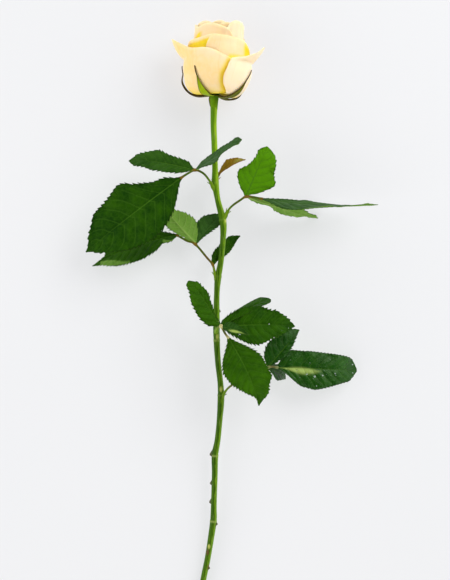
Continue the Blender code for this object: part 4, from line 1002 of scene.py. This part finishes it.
# left and right are either a drawn line of (share of the length, half width) or one swell, which is
# (half width, share where it is widest, taper)
leaflet = {
    "bow": 2.0, "sway": 0.0, "fold": 8, "roll": 0.1, "curl": 1.0, "twist": 0, "teeth": 8, "bite": 1.0,
    "ripple": 0.5, "tint": 0.15, "haze": 0.0, "streak": None, "paleEdge": (), "paleSide": -1,
}
leaves = {
    "leaf_upper_left": {
        "path": ((-10.5, 90.0, 19.4), (-12.9, 94.2, 22.0), (-15.5, 97.9, 25.5), (-18.6, 100.9, 29.0),
                 (-23.3, 102.5, 32.0), (-27.6, 100.4, 33.4), (-33.0, 96.9, 34.0)),
        "blades": (
            dict(leaflet, foot=(-32.4, 97.3, 34.0), tip=(-94.8, 50.2, 24.0), face=(-0.1, 0.08, 1.0),
                 left=((0.03, 2.4), (0.1, 7.8), (0.2, 14.6), (0.3, 18.8), (0.4, 20.8), (0.5, 21.0),
                       (0.6, 20.0), (0.7, 17.0), (0.8, 12.4), (0.86, 9.4), (0.92, 6.2), (0.96, 2.4)),
                 right=((0.03, 2.0), (0.1, 6.7), (0.14, 7.6), (0.2, 8.6), (0.3, 13.8), (0.36, 17.0),
                        (0.41, 20.4), (0.46, 21.4), (0.5, 20.4), (0.56, 18.8), (0.65, 17.3), (0.75, 16.3),
                        (0.78, 15.0), (0.81, 12.6), (0.86, 9.8), (0.91, 6.8), (0.95, 2.6)),
                 bow=3.0, fold=4, curl=2.0, twist=4, teeth=13, tint=0.05, ripple=1.0),
            dict(leaflet, foot=(-23.8, 102.6, 32.0), tip=(-66.4, 110.4, 26.0), face=(0.05, 0.62, 0.78),
                 left=((0.04, 1.4), (0.1, 4.6), (0.2, 7.3), (0.4, 8.6), (0.62, 8.5), (0.7, 7.2),
                       (0.88, 5.8), (0.94, 3.4)),
                 right=((0.04, 1.6), (0.1, 5.3), (0.2, 6.4), (0.3, 6.7), (0.42, 7.3), (0.52, 9.0),
                        (0.6, 10.6), (0.66, 8.8), (0.75, 7.1), (0.9, 5.4), (0.95, 3.0)),
                 bow=1.5, fold=10, curl=2.0, twist=-8, teeth=9, haze=0.15),
            dict(leaflet, foot=(-22.8, 102.8, 32.4), tip=(5.6, 122.4, 38.5), face=(-0.52, 0.78, 0.42),
                 left=((0.1, 5.4), (0.28, 8.6), (0.4, 7.2), (0.6, 7.4), (0.74, 5.6), (0.84, 5.8),
                       (0.92, 7.4), (0.97, 5.4)),
                 right=((0.1, 4.0), (0.22, 8.4), (0.34, 11.5), (0.44, 11.0), (0.52, 6.4), (0.58, 3.8),
                        (0.72, 4.4), (0.84, 3.2), (0.94, 3.8)),
                 bow=-0.5, curl=1.5, twist=8, haze=0.75, ripple=0.9),
        ),
    },
    "leaf_upper_right": {
        "path": ((-5.7, 70.4, 17.6), (-3.3, 75.1, 19.6), (-1.2, 78.4, 21.8), (1.4, 80.8, 23.4),
                 (5.6, 83.6, 25.0), (9.3, 85.8, 26.0), (14.0, 85.6, 25.2), (20.2, 84.4, 24.0)),
        "blades": (
            dict(leaflet, foot=(19.8, 84.5, 24.0), tip=(95.2, 81.0, 20.0), face=(0.0, 0.978, 0.208),
                 left=((0.08, 3.2), (0.25, 7.4), (0.38, 9.2), (0.5, 10.8), (0.62, 11.6), (0.75, 11.0),
                       (0.88, 6.2), (0.94, 4.6)),
                 right=((0.08, 6.6), (0.16, 13.5), (0.25, 16.0), (0.36, 15.2), (0.45, 13.0), (0.62, 12.6),
                        (0.75, 11.5), (0.9, 5.5)),
                 bow=-2.0, fold=2, roll=0.04, curl=0.0, twist=-34, teeth=12, haze=0.4, ripple=0.9,
                 paleEdge=((0.3, 0.14, 0.97, 0.2),), paleSide=1),
            dict(leaflet, foot=(9.2, 85.9, 26.0), tip=(22.6, 117.0, 35.0), face=(-0.1, -0.3, 0.95),
                 left=((0.06, 3.0), (0.1, 5.2), (0.2, 8.4), (0.3, 10.4), (0.39, 11.2), (0.45, 10.4),
                       (0.5, 8.6), (0.58, 6.4), (0.7, 4.8), (0.8, 4.3), (0.88, 4.6), (0.93, 3.4)),
                 right=((0.06, 1.6), (0.1, 4.6), (0.2, 8.8), (0.3, 12.2), (0.39, 14.5), (0.46, 14.2),
                        (0.52, 12.4), (0.6, 11.2), (0.72, 10.5), (0.82, 9.4), (0.9, 7.4), (0.96, 4.2)),
                 fold=-4, curl=2.0, twist=8, tint=1.0, bite=0.6, ripple=1.3),
            dict(leaflet, foot=(10.4, 85.6, 25.6), tip=(57.4, 72.4, 0.5), face=(0.0, 0.9, -0.4),
                 left=((0.08, 3.0), (0.2, 4.0), (0.3, 2.4), (0.37, 3.2), (0.44, 6.2), (0.55, 7.8),
                       (0.66, 7.6), (0.78, 5.8), (0.84, 1.8), (0.9, 3.0), (0.95, 2.6)),
                 right=((0.1, 2.4), (0.3, 5.6), (0.5, 8.4), (0.66, 7.6), (0.8, 5.0), (0.86, 3.0),
                        (0.93, 3.4)),
                 bow=0.0, fold=6, curl=-1.0, twist=10, teeth=9, tint=0.4, ripple=0.9),
        ),
    },
    "leaf_middle_left": {
        "path": ((-8.9, 29.0, 15.2), (-10.9, 36.7, 15.6), (-12.3, 42.2, 16.0), (-16.0, 46.6, 16.6),
                 (-23.8, 55.6, 17.0), (-29.0, 57.6, 16.4), (-36.3, 61.8, 15.0)),
        "blades": (
            dict(leaflet, foot=(-35.6, 61.4, 15.1), tip=(-92.4, 41.8, 0.6), face=(0.05, 0.62, 0.78),
                 left=((0.03, 4.0), (0.07, 6.2), (0.11, 6.0), (0.15, 5.2), (0.18, 7.6), (0.22, 10.6),
                       (0.3, 13.0), (0.4, 14.0), (0.5, 13.9), (0.6, 13.0), (0.7, 11.0), (0.8, 7.8),
                       (0.87, 4.6), (0.93, 2.8)),
                 right=((0.1, 4.4), (0.3, 10.0), (0.5, 12.0), (0.66, 9.6), (0.76, 6.0), (0.83, 2.6),
                        (0.88, 0.9)),
                 bow=4.0, curl=0.5, twist=-12, teeth=12,
                 paleEdge=((0.0, 0.0, 0.16, 0.8), (0.5, 0.08, 0.9, 0.9))),
            dict(leaflet, foot=(-23.6, 56.0, 17.0), tip=(-45.0, 80.0, 20.0), face=(-0.1, -0.1, -0.98),
                 left=((0.05, 3.4), (0.1, 5.6), (0.2, 8.6), (0.3, 10.4), (0.4, 10.9), (0.5, 10.3),
                       (0.6, 8.9), (0.7, 7.0), (0.85, 4.0)),
                 right=((0.05, 1.4), (0.1, 2.0), (0.2, 3.0), (0.3, 3.9), (0.4, 4.9), (0.5, 6.0), (0.6, 7.0),
                        (0.7, 6.5), (0.85, 3.8)),
                 curl=2.0, twist=6, tint=0.4),
            dict(leaflet, foot=(-23.4, 55.8, 17.0), tip=(-5.8, 76.4, 8.6), face=(-0.1, 0.45, 0.89),
                 left=((0.1, 3.2), (0.2, 6.8), (0.3, 8.2), (0.45, 9.0), (0.6, 8.8), (0.7, 7.8), (0.8, 5.6),
                       (0.9, 2.8)),
                 right=((0.2, 1.6), (0.4, 3.2), (0.6, 4.8), (0.7, 4.9), (0.8, 3.8), (0.9, 2.0)),
                 bow=1.0, teeth=7, haze=0.3, ripple=0.8),
            dict(leaflet, foot=(-12.3, 42.2, 15.9), tip=(6.0, 61.6, 6.0), face=(0.2, 0.15, 0.96),
                 left=((0.07, 2.8), (0.15, 4.6), (0.3, 5.7), (0.5, 5.9), (0.7, 5.7), (0.8, 5.1),
                       (0.88, 3.6), (0.94, 2.1)),
                 right=((0.2, 0.8), (0.3, 1.5), (0.4, 2.3), (0.5, 2.6), (0.6, 2.4), (0.7, 1.8), (0.8, 1.0),
                        (0.9, 0.5)),
                 bow=-1.5, teeth=7),
        ),
    },
    "leaf_front": {
        "path": ((-9.9, -2.4, 14.0), (-9.2, 0.4, 22.0), (-8.0, 2.2, 30.5), (-6.7, 2.4, 36.5),
                 (-5.4, 0.2, 40.0), (-3.8, -2.6, 41.6), (-1.7, -5.2, 42.4)),
        "blades": (
            dict(leaflet, foot=(-2.1, -4.8, 42.3), tip=(18.2, -49.2, 30.0), face=(0.1, 0.18, 0.97),
                 left=((0.03, 1.4), (0.1, 4.0), (0.2, 7.8), (0.3, 11.6), (0.4, 12.8), (0.5, 13.3),
                       (0.6, 13.8), (0.66, 14.2), (0.71, 13.6), (0.75, 11.6), (0.8, 10.2), (0.86, 9.4),
                       (0.91, 7.6), (0.94, 5.0), (0.97, 2.2)),
                 right=((0.05, 2.9), (0.1, 5.4), (0.2, 10.4), (0.29, 13.7), (0.35, 14.8), (0.41, 14.4),
                        (0.5, 13.5), (0.55, 12.7), (0.62, 10.8), (0.7, 8.1), (0.76, 5.8), (0.82, 3.2),
                        (0.86, 1.4), (0.9, 0.5)),
                 bow=3.0, sway=-1.4, fold=6, curl=2.0, twist=4, teeth=12, tint=0.27, ripple=1.0),
            dict(leaflet, foot=(-7.0, 2.6, 36.0), tip=(-27.0, 32.4, 31.0), face=(0.3, 0.1, 0.94),
                 left=((0.05, 3.4), (0.1, 7.2), (0.2, 9.0), (0.3, 9.6), (0.4, 9.7), (0.5, 9.4), (0.6, 8.8),
                       (0.7, 7.6), (0.8, 5.8), (0.86, 5.0), (0.95, 3.8), (1, 0.6)),
                 right=((0.2, 1.0), (0.3, 1.7), (0.4, 2.6), (0.5, 3.6), (0.56, 4.7), (0.63, 5.2),
                        (0.7, 4.7), (0.8, 4.3), (0.87, 4.6), (0.92, 3.4), (0.96, 1.8)),
                 curl=3.0, twist=8, tint=0.27, ripple=1.0),
            dict(leaflet, foot=(-6.8, 2.6, 36.4), tip=(24.4, 20.6, 28.0), face=(-0.45, 0.8, 0.42),
                 left=((0.05, 3.8), (0.1, 6.0), (0.2, 6.9), (0.4, 7.1), (0.6, 7.2), (0.8, 7.3), (0.91, 7.7),
                       (0.95, 5.2), (1, 1.2)),
                 right=((0.2, 4.0), (0.5, 6.0), (0.7, 6.4), (0.82, 6.4), (0.92, 5.6), (0.97, 4.4),
                        (1, 1.0)),
                 bow=0.8, fold=6, twist=6, bite=0.5),
            dict(leaflet, foot=(-6.6, 2.4, 36.8), tip=(40.8, 3.0, 34.0), face=(-0.05, 0.25, 0.96),
                 left=((0.03, 3.6), (0.1, 7.5), (0.2, 9.8), (0.3, 11.5), (0.4, 12.3), (0.5, 12.3),
                       (0.6, 11.3), (0.68, 10.0), (0.75, 9.6), (0.79, 8.0), (0.85, 6.6), (0.9, 5.6),
                       (0.95, 3.4)),
                 right=((0.05, 3.0), (0.1, 5.4), (0.2, 8.6), (0.3, 11.2), (0.4, 13.4), (0.48, 13.8),
                        (0.55, 12.6), (0.65, 10.4), (0.75, 8.4), (0.85, 5.6), (0.93, 3.0)),
                 bow=3.0, curl=3.0, twist=-6, teeth=10, tint=0.14, ripple=1.0),
            dict(leaflet, foot=(-6.2, 1.8, 38.2), tip=(9.6, -1.6, 54.0), face=(-0.6, 0.4, 0.7),
                 left=(4.4, 0.42, 1.8),
                 right=(2.6, 0.5, 1.8),
                 fold=12, roll=0.05, curl=2.0, teeth=6, haze=0.2, streak=(0.64, 0.32, 0.5, 0.5)),
        ),
    },
    "leaf_lower_right": {
        "path": ((-7.2, -46.8, 11.2), (-4.2, -41.2, 13.2), (0.3, -36.6, 15.6), (12.0, -29.8, 18.6),
                 (23.8, -24.7, 19.2), (30.5, -24.9, 18.8)),
        "blades": (
            dict(leaflet, foot=(29.8, -24.9, 18.9), tip=(83.6, -27.2, 10.0), face=(0.08, 0.1, 0.99),
                 left=((0.03, 5.0), (0.08, 9.6), (0.15, 11.9), (0.3, 11.5), (0.5, 10.9), (0.7, 10.0),
                       (0.85, 9.1), (0.92, 8.0), (0.96, 5.4), (0.99, 2.2), (1, 0.4)),
                 right=((0.05, 1.8), (0.1, 3.8), (0.2, 8.4), (0.25, 10.7), (0.3, 12.3), (0.4, 13.3),
                        (0.45, 14.0), (0.5, 13.5), (0.6, 12.3), (0.7, 10.7), (0.8, 9.0), (0.89, 7.6),
                        (0.94, 4.8), (0.98, 2.2), (1, 0.4)),
                 bow=2.5, roll=0.16, curl=5.0, twist=-6, teeth=12, bite=0.4, ripple=0.9,
                 streak=(0.25, 0.31, 0.14, 0.22)),
            dict(leaflet, foot=(23.6, -24.7, 19.2), tip=(44.4, -0.4, 16.0), face=(0.1, 0.0, 0.98),
                 left=((0.05, 3.8), (0.1, 6.6), (0.2, 9.2), (0.3, 10.3), (0.45, 10.7), (0.6, 9.7),
                       (0.75, 7.6), (0.87, 5.4), (0.94, 3.4)),
                 right=((0.1, 1.7), (0.3, 3.7), (0.5, 4.3), (0.6, 4.0), (0.7, 3.1), (0.8, 2.1), (0.9, 1.1)),
                 ripple=0.8),
            dict(leaflet, foot=(24.0, -24.9, 19.2), tip=(36.0, -33.4, 0.7), face=(0.5, 0.2, 0.84),
                 left=(5.6, 0.5, 1.8),
                 right=((0.2, 3.2), (0.38, 5.4), (0.5, 5.2), (0.7, 3.2), (0.9, 1.2)),
                 bow=1.5, curl=0.0, teeth=7),
        ),
    },
    "young_leaf": {
        "path": ((-10.3, 93.2, 19.6), (-9.4, 98.0, 14.2), (-7.6, 102.6, 13.6)),
        "blades": (
            dict(leaflet, foot=(-7.8, 102.2, 13.6), tip=(8.8, 111.6, 14.0), face=(-0.35, 0.6, 0.7),
                 left=((0.2, 3.4), (0.3, 4.2), (0.42, 5.4), (0.5, 4.9), (0.65, 4.0), (0.8, 2.8)),
                 right=((0, 0.6), (0.3, 1.8), (0.6, 1.9), (0.85, 1.4)),
                 bow=1.2, fold=16, roll=0.05, teeth=5, tint=0.4, streak=(0.85, 0.35, 0.0, 0.9)),
        ),
    },
}


def halfWidth(side, t):
    t = np.clip(t, 1e-6, 1 - 1e-6)
    if isinstance(side[0], tuple):
        # a drawn line starts as wide as the root and ends in a point, unless it says otherwise
        line = (((0, leafPlan["rootHalf"]),) if side[0][0] > 0 else ()) + side
        line += ((1, 0),) if side[-1][0] < 1 else ()
        return sum(np.interp(t + step, *zip(*line)) for step in (-0.014, 0.0, 0.014)) / 3
    widest, peak, taper = side
    return widest * (t / peak) ** (taper * peak) * ((1 - t) / (1 - peak)) ** (taper * (1 - peak))


def broadest(side):
    return max(half for share, half in side) if isinstance(side[0], tuple) else side[0]


def bladePlaces(look, t, u, out, lift):
    # t runs from foot to tip, u across; out stretches the half width for teeth, lift raises the surface
    foot, tip = np.array(look["foot"]), np.array(look["tip"])
    along = unit(tip - foot)
    face = unit(np.array(look["face"]) - along * along.dot(look["face"]))
    side = np.cross(along, face)
    arch = (4 * t * (1 - t))[..., None]
    rib = foot + (tip - foot) * t[..., None] + side * (look["sway"] * arch)
    rib = rib + face * (look["bow"] * arch - look["curl"] * smooth((t - 0.65) / 0.35)[..., None] ** 2)
    angle = math.radians(look["twist"]) * (t - 0.5)[..., None]
    faceHere = face * np.cos(angle) + side * np.sin(angle)
    sideHere = side * np.cos(angle) - face * np.sin(angle)
    widest = np.where(u < 0, broadest(look["left"]), broadest(look["right"]))
    half = np.where(u < 0, halfWidth(look["left"], t), halfWidth(look["right"], t)) * out
    reach = u * np.maximum(half, leafPlan["rootHalf"] * (1 - 0.6 * t))
    rise = np.abs(reach) * math.tan(math.radians(look["fold"])) - look["roll"] * reach * reach / widest + lift
    return rib + sideHere * reach[..., None] + faceHere * rise[..., None], np.abs(reach)


def addBlade(pile, look, number):
    length, thin = math.dist(look["foot"], look["tip"]), leafPlan["thickness"]
    widest = max(broadest(look["left"]), broadest(look["right"]))
    big = look["teeth"] >= leafPlan["bigFrom"]
    teeth = look["teeth"] * 2 if big else int(look["teeth"] * 1.7)
    rows, columns = teeth * leafPlan["rowsPerTooth"], leafPlan["columns"] if big else leafPlan["columns"] - 6
    u, t = np.meshgrid(np.linspace(-1, 1, columns + 1), np.linspace(0, 1, rows + 1))
    u = np.sign(u) * np.abs(u) ** 1.25
    left, out, tipward = u < 0, np.abs(u), 1 - t
    saw = (t * teeth + np.where(left, 0.4, 0.0) + 0.07 * np.sin(9 * t + number)) % 1.0
    margin = smooth((out - 0.7) / 0.3) * smooth(t / 0.08) * smooth(tipward / 0.05)
    size = 1 + 0.35 * np.sin(23 * t + 1.3 * number + np.where(left, 1.0, 0.0))
    sides = np.where(left, halfWidth(look["left"], t), halfWidth(look["right"], t))
    depth = look["bite"] * leafPlan["toothDepth"] * min(widest / 12, 1.0)
    toothed = 1 + depth / np.maximum(sides, 2.5) * (saw**1.3 - 0.6) * size * margin
    shifted = t + leafPlan["toothLean"] * (saw - 0.5) * margin / teeth
    # side veins leave the rib at a slant and bend towards the tip; the blade puffs up between them
    veins = leafPlan["bigVeins"] if big else leafPlan["smallVeins"]
    slant = 0.5 * widest / length
    sideVein = (t - slant * out**1.15 - 0.05 * u * u) * veins
    sideVein = sideVein + np.where(left, 0.38, 0.0) * smooth(out / 0.12) + 0.05 * np.sin(4 * t + number)
    toVein = np.abs((sideVein + 0.5) % 1.0 - 0.5) * (length / veins)
    inside = smooth((1 - out) / 0.25) * smooth(t / 0.1) * smooth(tipward / 0.1)
    ribHere = out * widest
    sink = leafPlan["veinSink"] * np.exp(-(toVein**2)) * inside * smooth(ribHere / 2.0)
    sink = sink * min(widest / 12, 1.0)
    lift = -sink - leafPlan["ribSink"] * np.exp(-((ribHere / 0.95) ** 2)) * smooth(tipward / 0.3)
    wave = np.sin(15 * t + 2.2 * number + np.where(left, 1.6, 0.0)) + 0.4 * np.sin(37 * t + number)
    wave = look["ripple"] * out**2.2 * wave * min(widest / 14, 1.0)
    lift = lift + wave * inside**0.2 * smooth(t / 0.15) * smooth(tipward / 0.12)
    grid, reach = bladePlaces(look, np.clip(shifted, 0, 1), u, toothed, lift)
    # thicker along the rib, on the underside only
    thick = thin + leafPlan["ribSwell"] * np.exp(-((reach / 0.75) ** 2)) * (1 - 0.75 * t)
    thick = thick - leafPlan["edgeThinner"] * smooth((out - 0.8) / 0.2)
    face = unit(np.cross(np.gradient(grid, axis=1), np.gradient(grid, axis=0)))
    grid = grid - face * ((thick - thin) / 2)[..., None]
    streak = pale = np.zeros_like(t)
    if look["streak"]:
        place, reachAlong, aside, wide = look["streak"]
        down = (t - place) / reachAlong
        across = (u - aside) / (wide * np.maximum(1 - down**2, 0.05))
        streak = smooth(1.25 - np.hypot(down, across))
    for start, narrow, end, wide in look["paleEdge"]:  # where one edge turns up its lower side
        share = np.clip((t - start) / (end - start), 0, 1)
        inner = -1 + narrow + (wide - narrow) * share + u * look["paleSide"]
        turned = smooth(inner / 0.08) * smooth((t - start) / 0.03) * smooth((end - t) / 0.02)
        pale = np.maximum(pale, turned)
    addSheet(pile, grid, thick, {
        "across": (u + 1) / 2, "along": t, "edge": out, "ribDistance": reach, "sideVein": sideVein,
        "tint": look["tint"], "haze": look["haze"], "streak": streak, "pale": pale, "stalk": 0.0})


def addStipule(pile, path, hand):
    plan, total, grid = leafPlan["stipule"], lengthOf(path), []
    rows, across = plan["rows"], np.linspace(0, 1, plan["columns"] + 1)
    for i in range(rows + 1):
        step = 5 * i / rows
        share = min((0.8 + plan["length"] * step / 5) / total, 0.9)
        here, ahead = throughPoints(path, share), throughPoints(path, share + 0.02)
        along = unit(ahead - here)
        side = np.cross(along, (0.0, 0.0, 1.0))
        if np.linalg.norm(side) < 0.5:
            side = np.cross(along, (0.0, 1.0, 0.0))
        side = unit(side) * hand
        free = float(smooth((step - 3) / 2))
        wing = plan["half"] * (0.7 + 0.3 * math.sin(math.pi * min(step / 3, 1.0)))
        wing = wing * (1 + 0.12 * math.sin(17 * step))
        inner = here + side * (plan["free"] * free * 0.6)
        curl = np.cross(side, along) * 0.3
        grid.append(inner + side * wing * (1 - 0.8 * free) * across[:, None] + curl * across[:, None] ** 2)
    u, t = np.meshgrid(across, np.linspace(0, 1, rows + 1))
    grid = np.array(grid) if hand > 0 else np.array(grid)[:, ::-1]
    addSheet(pile, grid, 0.35, {
        "across": u, "along": t, "edge": u * 0.96, "ribDistance": 3.0, "sideVein": 0.5, "tint": 1.0,
        "haze": 0.0, "streak": 0.35, "pale": 0.0, "stalk": 0.0})


def makeLeaf(name):
    leaf, pile = leaves[name], newPile()
    steps = leafPlan["youngSteps"] if name == "young_leaf" else leafPlan["petioleSteps"]
    share = np.linspace(0, 1, steps + 1)
    path, knot = throughPoints(leaf["path"], share), np.zeros_like(share)
    radii = leafPlan["petiole"] * (2.0 - 1.05 * smooth(3.5 * share))
    for look in leaf["blades"]:  # a small knuckle where a leaflet joins
        away = np.linalg.norm(path - np.array(look["foot"]), axis=1)
        radii = radii + leafPlan["knuckle"] * np.exp(-((away / 1.3) ** 2))
        knot = np.maximum(knot, np.exp(-((away / 1.9) ** 2)))
    addTube(pile, path, radii, leafPlan["petioleSides"], {
        "across": 0.5, "along": share, "edge": 0.0, "under": 0.0, "ribDistance": 3.0, "sideVein": 0.5,
        "tint": 0.3, "haze": 0.0, "streak": 0.0, "pale": 0.0, "stalk": 1.0, "knot": knot})
    for number, look in enumerate(leaf["blades"]):
        addBlade(pile, look, number)
    for hand in (-1, 1):
        addStipule(pile, leaf["path"], hand)
    return pieceFrom("foliage_" + name, pile, leafSkins.get(name, leafSkin))


foliage = {name: makeLeaf(name) for name in leaves}
print("leaves ready")


def makePetiolePrickles():
    # small hooked prickles under each petiole, every few millimetres
    spurs, gap = [], leafPlan["prickleGap"]
    for order, (name, leaf) in enumerate(leaves.items()):
        if name == "young_leaf":
            continue
        path, total = leaf["path"], lengthOf(leaf["path"])
        for i in range(int((total - 10) / gap)):
            share = (9 + i * gap) / total
            here, ahead = throughPoints(path, share), throughPoints(path, share + 0.01)
            along, down = unit(ahead - here), (0.25 * math.sin(2.3 * i + order), -0.1, -1.0)
            down = unit(np.array(down) - along * along.dot(down))
            spurs.append((here + down * 0.45, down, -along, 0.8 + 0.3 * math.sin(1.9 * i + order)))
    shape = {"Length": 0.95 * mm, "Foot": 0.34 * mm, "Tip": 0.03 * mm, "Hook": 0.4 * mm, "Sides": 8}
    return growSpurs("petiolePrickles", spurs, shape)


petiolePrickles = makePetiolePrickles()


waterPlan = {
    # the leaf, which of its leaflets, and how wet it is
    "blades": (("leaf_lower_right", 0, 1.0), ("leaf_front", 3, 0.25)),
    "density": 130000.0, "small": 0.16, "large": 0.75, "seed": 11, "lift": 0.16, "rows": 31, "columns": 15,
}


def makeWaterTree():
    tree, given, out = newGeometryTree("waterNodes", Density="Float", Smallest="Float", Largest="Float",
                                       Seed="Int", Water="Material")
    spread = {"Mesh": given["Geometry"], "Density": times(given["Density"], stored(tree, "wet")),
              "Seed": given["Seed"]}
    scatter = addNode(tree, "GeometryNodeDistributePointsOnFaces", spread).outputs
    bead = addNode(tree, "GeometryNodeMeshIcoSphere", {"Radius": 1.0, "Subdivisions": 2}).outputs["Mesh"]
    picked = {2: 0.0, 3: 1.0, "Seed": given["Seed"]}
    chance = addNode(tree, "FunctionNodeRandomValue", picked, data_type="FLOAT").outputs[1]
    span = minus(given["Largest"], given["Smallest"])
    size = calc("MULTIPLY_ADD", calc("POWER", chance, 3.0), span, given["Smallest"])
    copies = {"Points": scatter["Points"], "Instance": bead, "Rotation": scatter["Rotation"],
              "Scale": joinPlace(tree, size, size, times(size, 0.5))}
    placed = addNode(tree, "GeometryNodeInstanceOnPoints", copies).outputs[0]
    return finishTree(tree, placed, given["Water"], out)


def makeWater():
    # beads of water scattered on the upper faces of a few leaflets
    points, faces, wet = [], [], []
    across, down = np.linspace(-0.86, 0.86, waterPlan["columns"]), np.linspace(0.12, 0.95, waterPlan["rows"])
    u, t = np.meshgrid(across, down)
    clumps = 0.5 + 0.5 * np.sin(11 * t + 2) * np.sin(7 * u + 1)
    for name, number, share in waterPlan["blades"]:
        grid = bladePlaces(leaves[name]["blades"][number], t, u, 1.0, waterPlan["lift"])[0]
        faces += sheetFaces(*t.shape, start=len(points) * t.size).tolist()
        points.append(grid.reshape(-1, 3))
        wet.append((share * clumps**2 * (0.3 + 0.7 * smooth(u / 0.5))).reshape(-1))
    mesh = bpy.data.meshes.new("waterBase")
    mesh.from_pydata((np.concatenate(points) * mm).tolist(), [], faces)
    paintPoints(mesh, "wet", np.concatenate(wet))
    base = putInScene("waterBase", mesh)
    addModifier(base, makeWaterTree(), {
        "Density": waterPlan["density"], "Smallest": waterPlan["small"] * mm,
        "Largest": waterPlan["large"] * mm, "Seed": waterPlan["seed"], "Water": waterBead})
    return meshFromNodes(base, "waterBeads", waterBead)


water = makeWater()
print("prickles and water beads ready")


# what rides on what

rides = (
    (stem, "stem", ("stem",)), (cutFace, "stem", ()), (stubs, "stem", ()), (calyx, "calyx", ("calyx",)),
    (outerPetals, "petals", ("bloom",)), (middlePetals, "petals", ()), (heartPetals, "petals", ()),
    (petiolePrickles, "leaves", ()), (water, "leaves", ()),
)
for piece, finish, nodes in rides:
    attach(piece, "root")
    if nodes:
        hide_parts(*nodes)
for name, piece in foliage.items():
    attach(piece, "root")
    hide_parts(name)


# floor, light and camera

studio = {
    "floorSize": 3.0, "floorGlow": 0.58, "air": (1.65, 0.12), "key": 11.0, "fill": 6.0,
    "aim": (0.0, 0.03, 0.02),
    "floorTones": ((0.285, 0.287, 0.289), (0.293, 0.293, 0.297)),
    "glowTones": ((0.93, 0.935, 0.96), (0.96, 0.96, 0.97)),
    # the camera looks straight down and takes in 377 mm along Y, 900 mm below it
    "cameraAt": (-4.225, 25.545, 920.0), "distance": 900.0, "view": 377.0, "sensor": 36.0,
}


def makeFloor():
    material, tree, shader, place = newMaterial("palePaper", Roughness=0.9)
    setSocket(shader.inputs["Emission Strength"], studio["floorGlow"])
    broad = noiseAt(tree, place, 3.0, 1.0)
    setSocket(shader.inputs["Base Color"], blendColours(broad, *studio["floorTones"]))
    setSocket(shader.inputs["Emission Color"], blendColours(broad, *studio["glowTones"]))
    addBump(tree, shader, noiseAt(tree, place, 700.0, 3.0), 0.05, 0.3)
    half = studio["floorSize"] / 2
    mesh = bpy.data.meshes.new("floor")
    corners = [(-half, -half, 0), (half, -half, 0), (half, half, 0), (-half, half, 0)]
    mesh.from_pydata(corners, [], [(0, 1, 2, 3)])
    mesh.materials.append(material)
    putInScene("floor", mesh)


def makeLight(name, place, size, power):
    data = bpy.data.lights.new(name, "AREA")
    data.shape, data.size, data.energy = "SQUARE", size, power
    made = putInScene(name, data)
    away = unit(np.array(place) - np.array(studio["aim"]))
    made.location = place
    made.rotation_euler = (math.acos(away[2]), 0.0, math.atan2(away[0], -away[1]))


def makeAir():  # a light tent, darker overhead
    world = bpy.data.worlds.new("studioAir")
    world.use_nodes = True
    tree = world.node_tree
    strength = tree.nodes["Background"].inputs[1]
    tree.nodes["Background"].inputs[0].default_value = (0.97, 0.985, 1.0, 1.0)
    facing = splitPlace(tree, tree.nodes.new("ShaderNodeTexCoord").outputs["Generated"])[2]
    setSocket(strength, ramp(facing, 0.3, 0.88, *studio["air"]))
    bpy.context.scene.world = world


def makeCamera():
    data = bpy.data.cameras.new("camera")
    data.sensor_fit, data.sensor_height = "VERTICAL", studio["sensor"]
    data.lens = studio["sensor"] * studio["distance"] / studio["view"]
    data.clip_start, data.clip_end = 0.05, 10.0
    camera = putInScene("camera", data)
    camera.location = [place * mm for place in studio["cameraAt"]]
    bpy.context.scene.camera = camera
    bpy.context.scene.view_settings.view_transform = "Standard"


makeFloor()
makeLight("keyLight", (0.75, 0.75, 0.95), 0.9, studio["key"])
makeLight("fillLight", (-1.0, -0.2, 0.8), 1.2, studio["fill"])
makeAir()
makeCamera()
print("floor, light and camera ready")
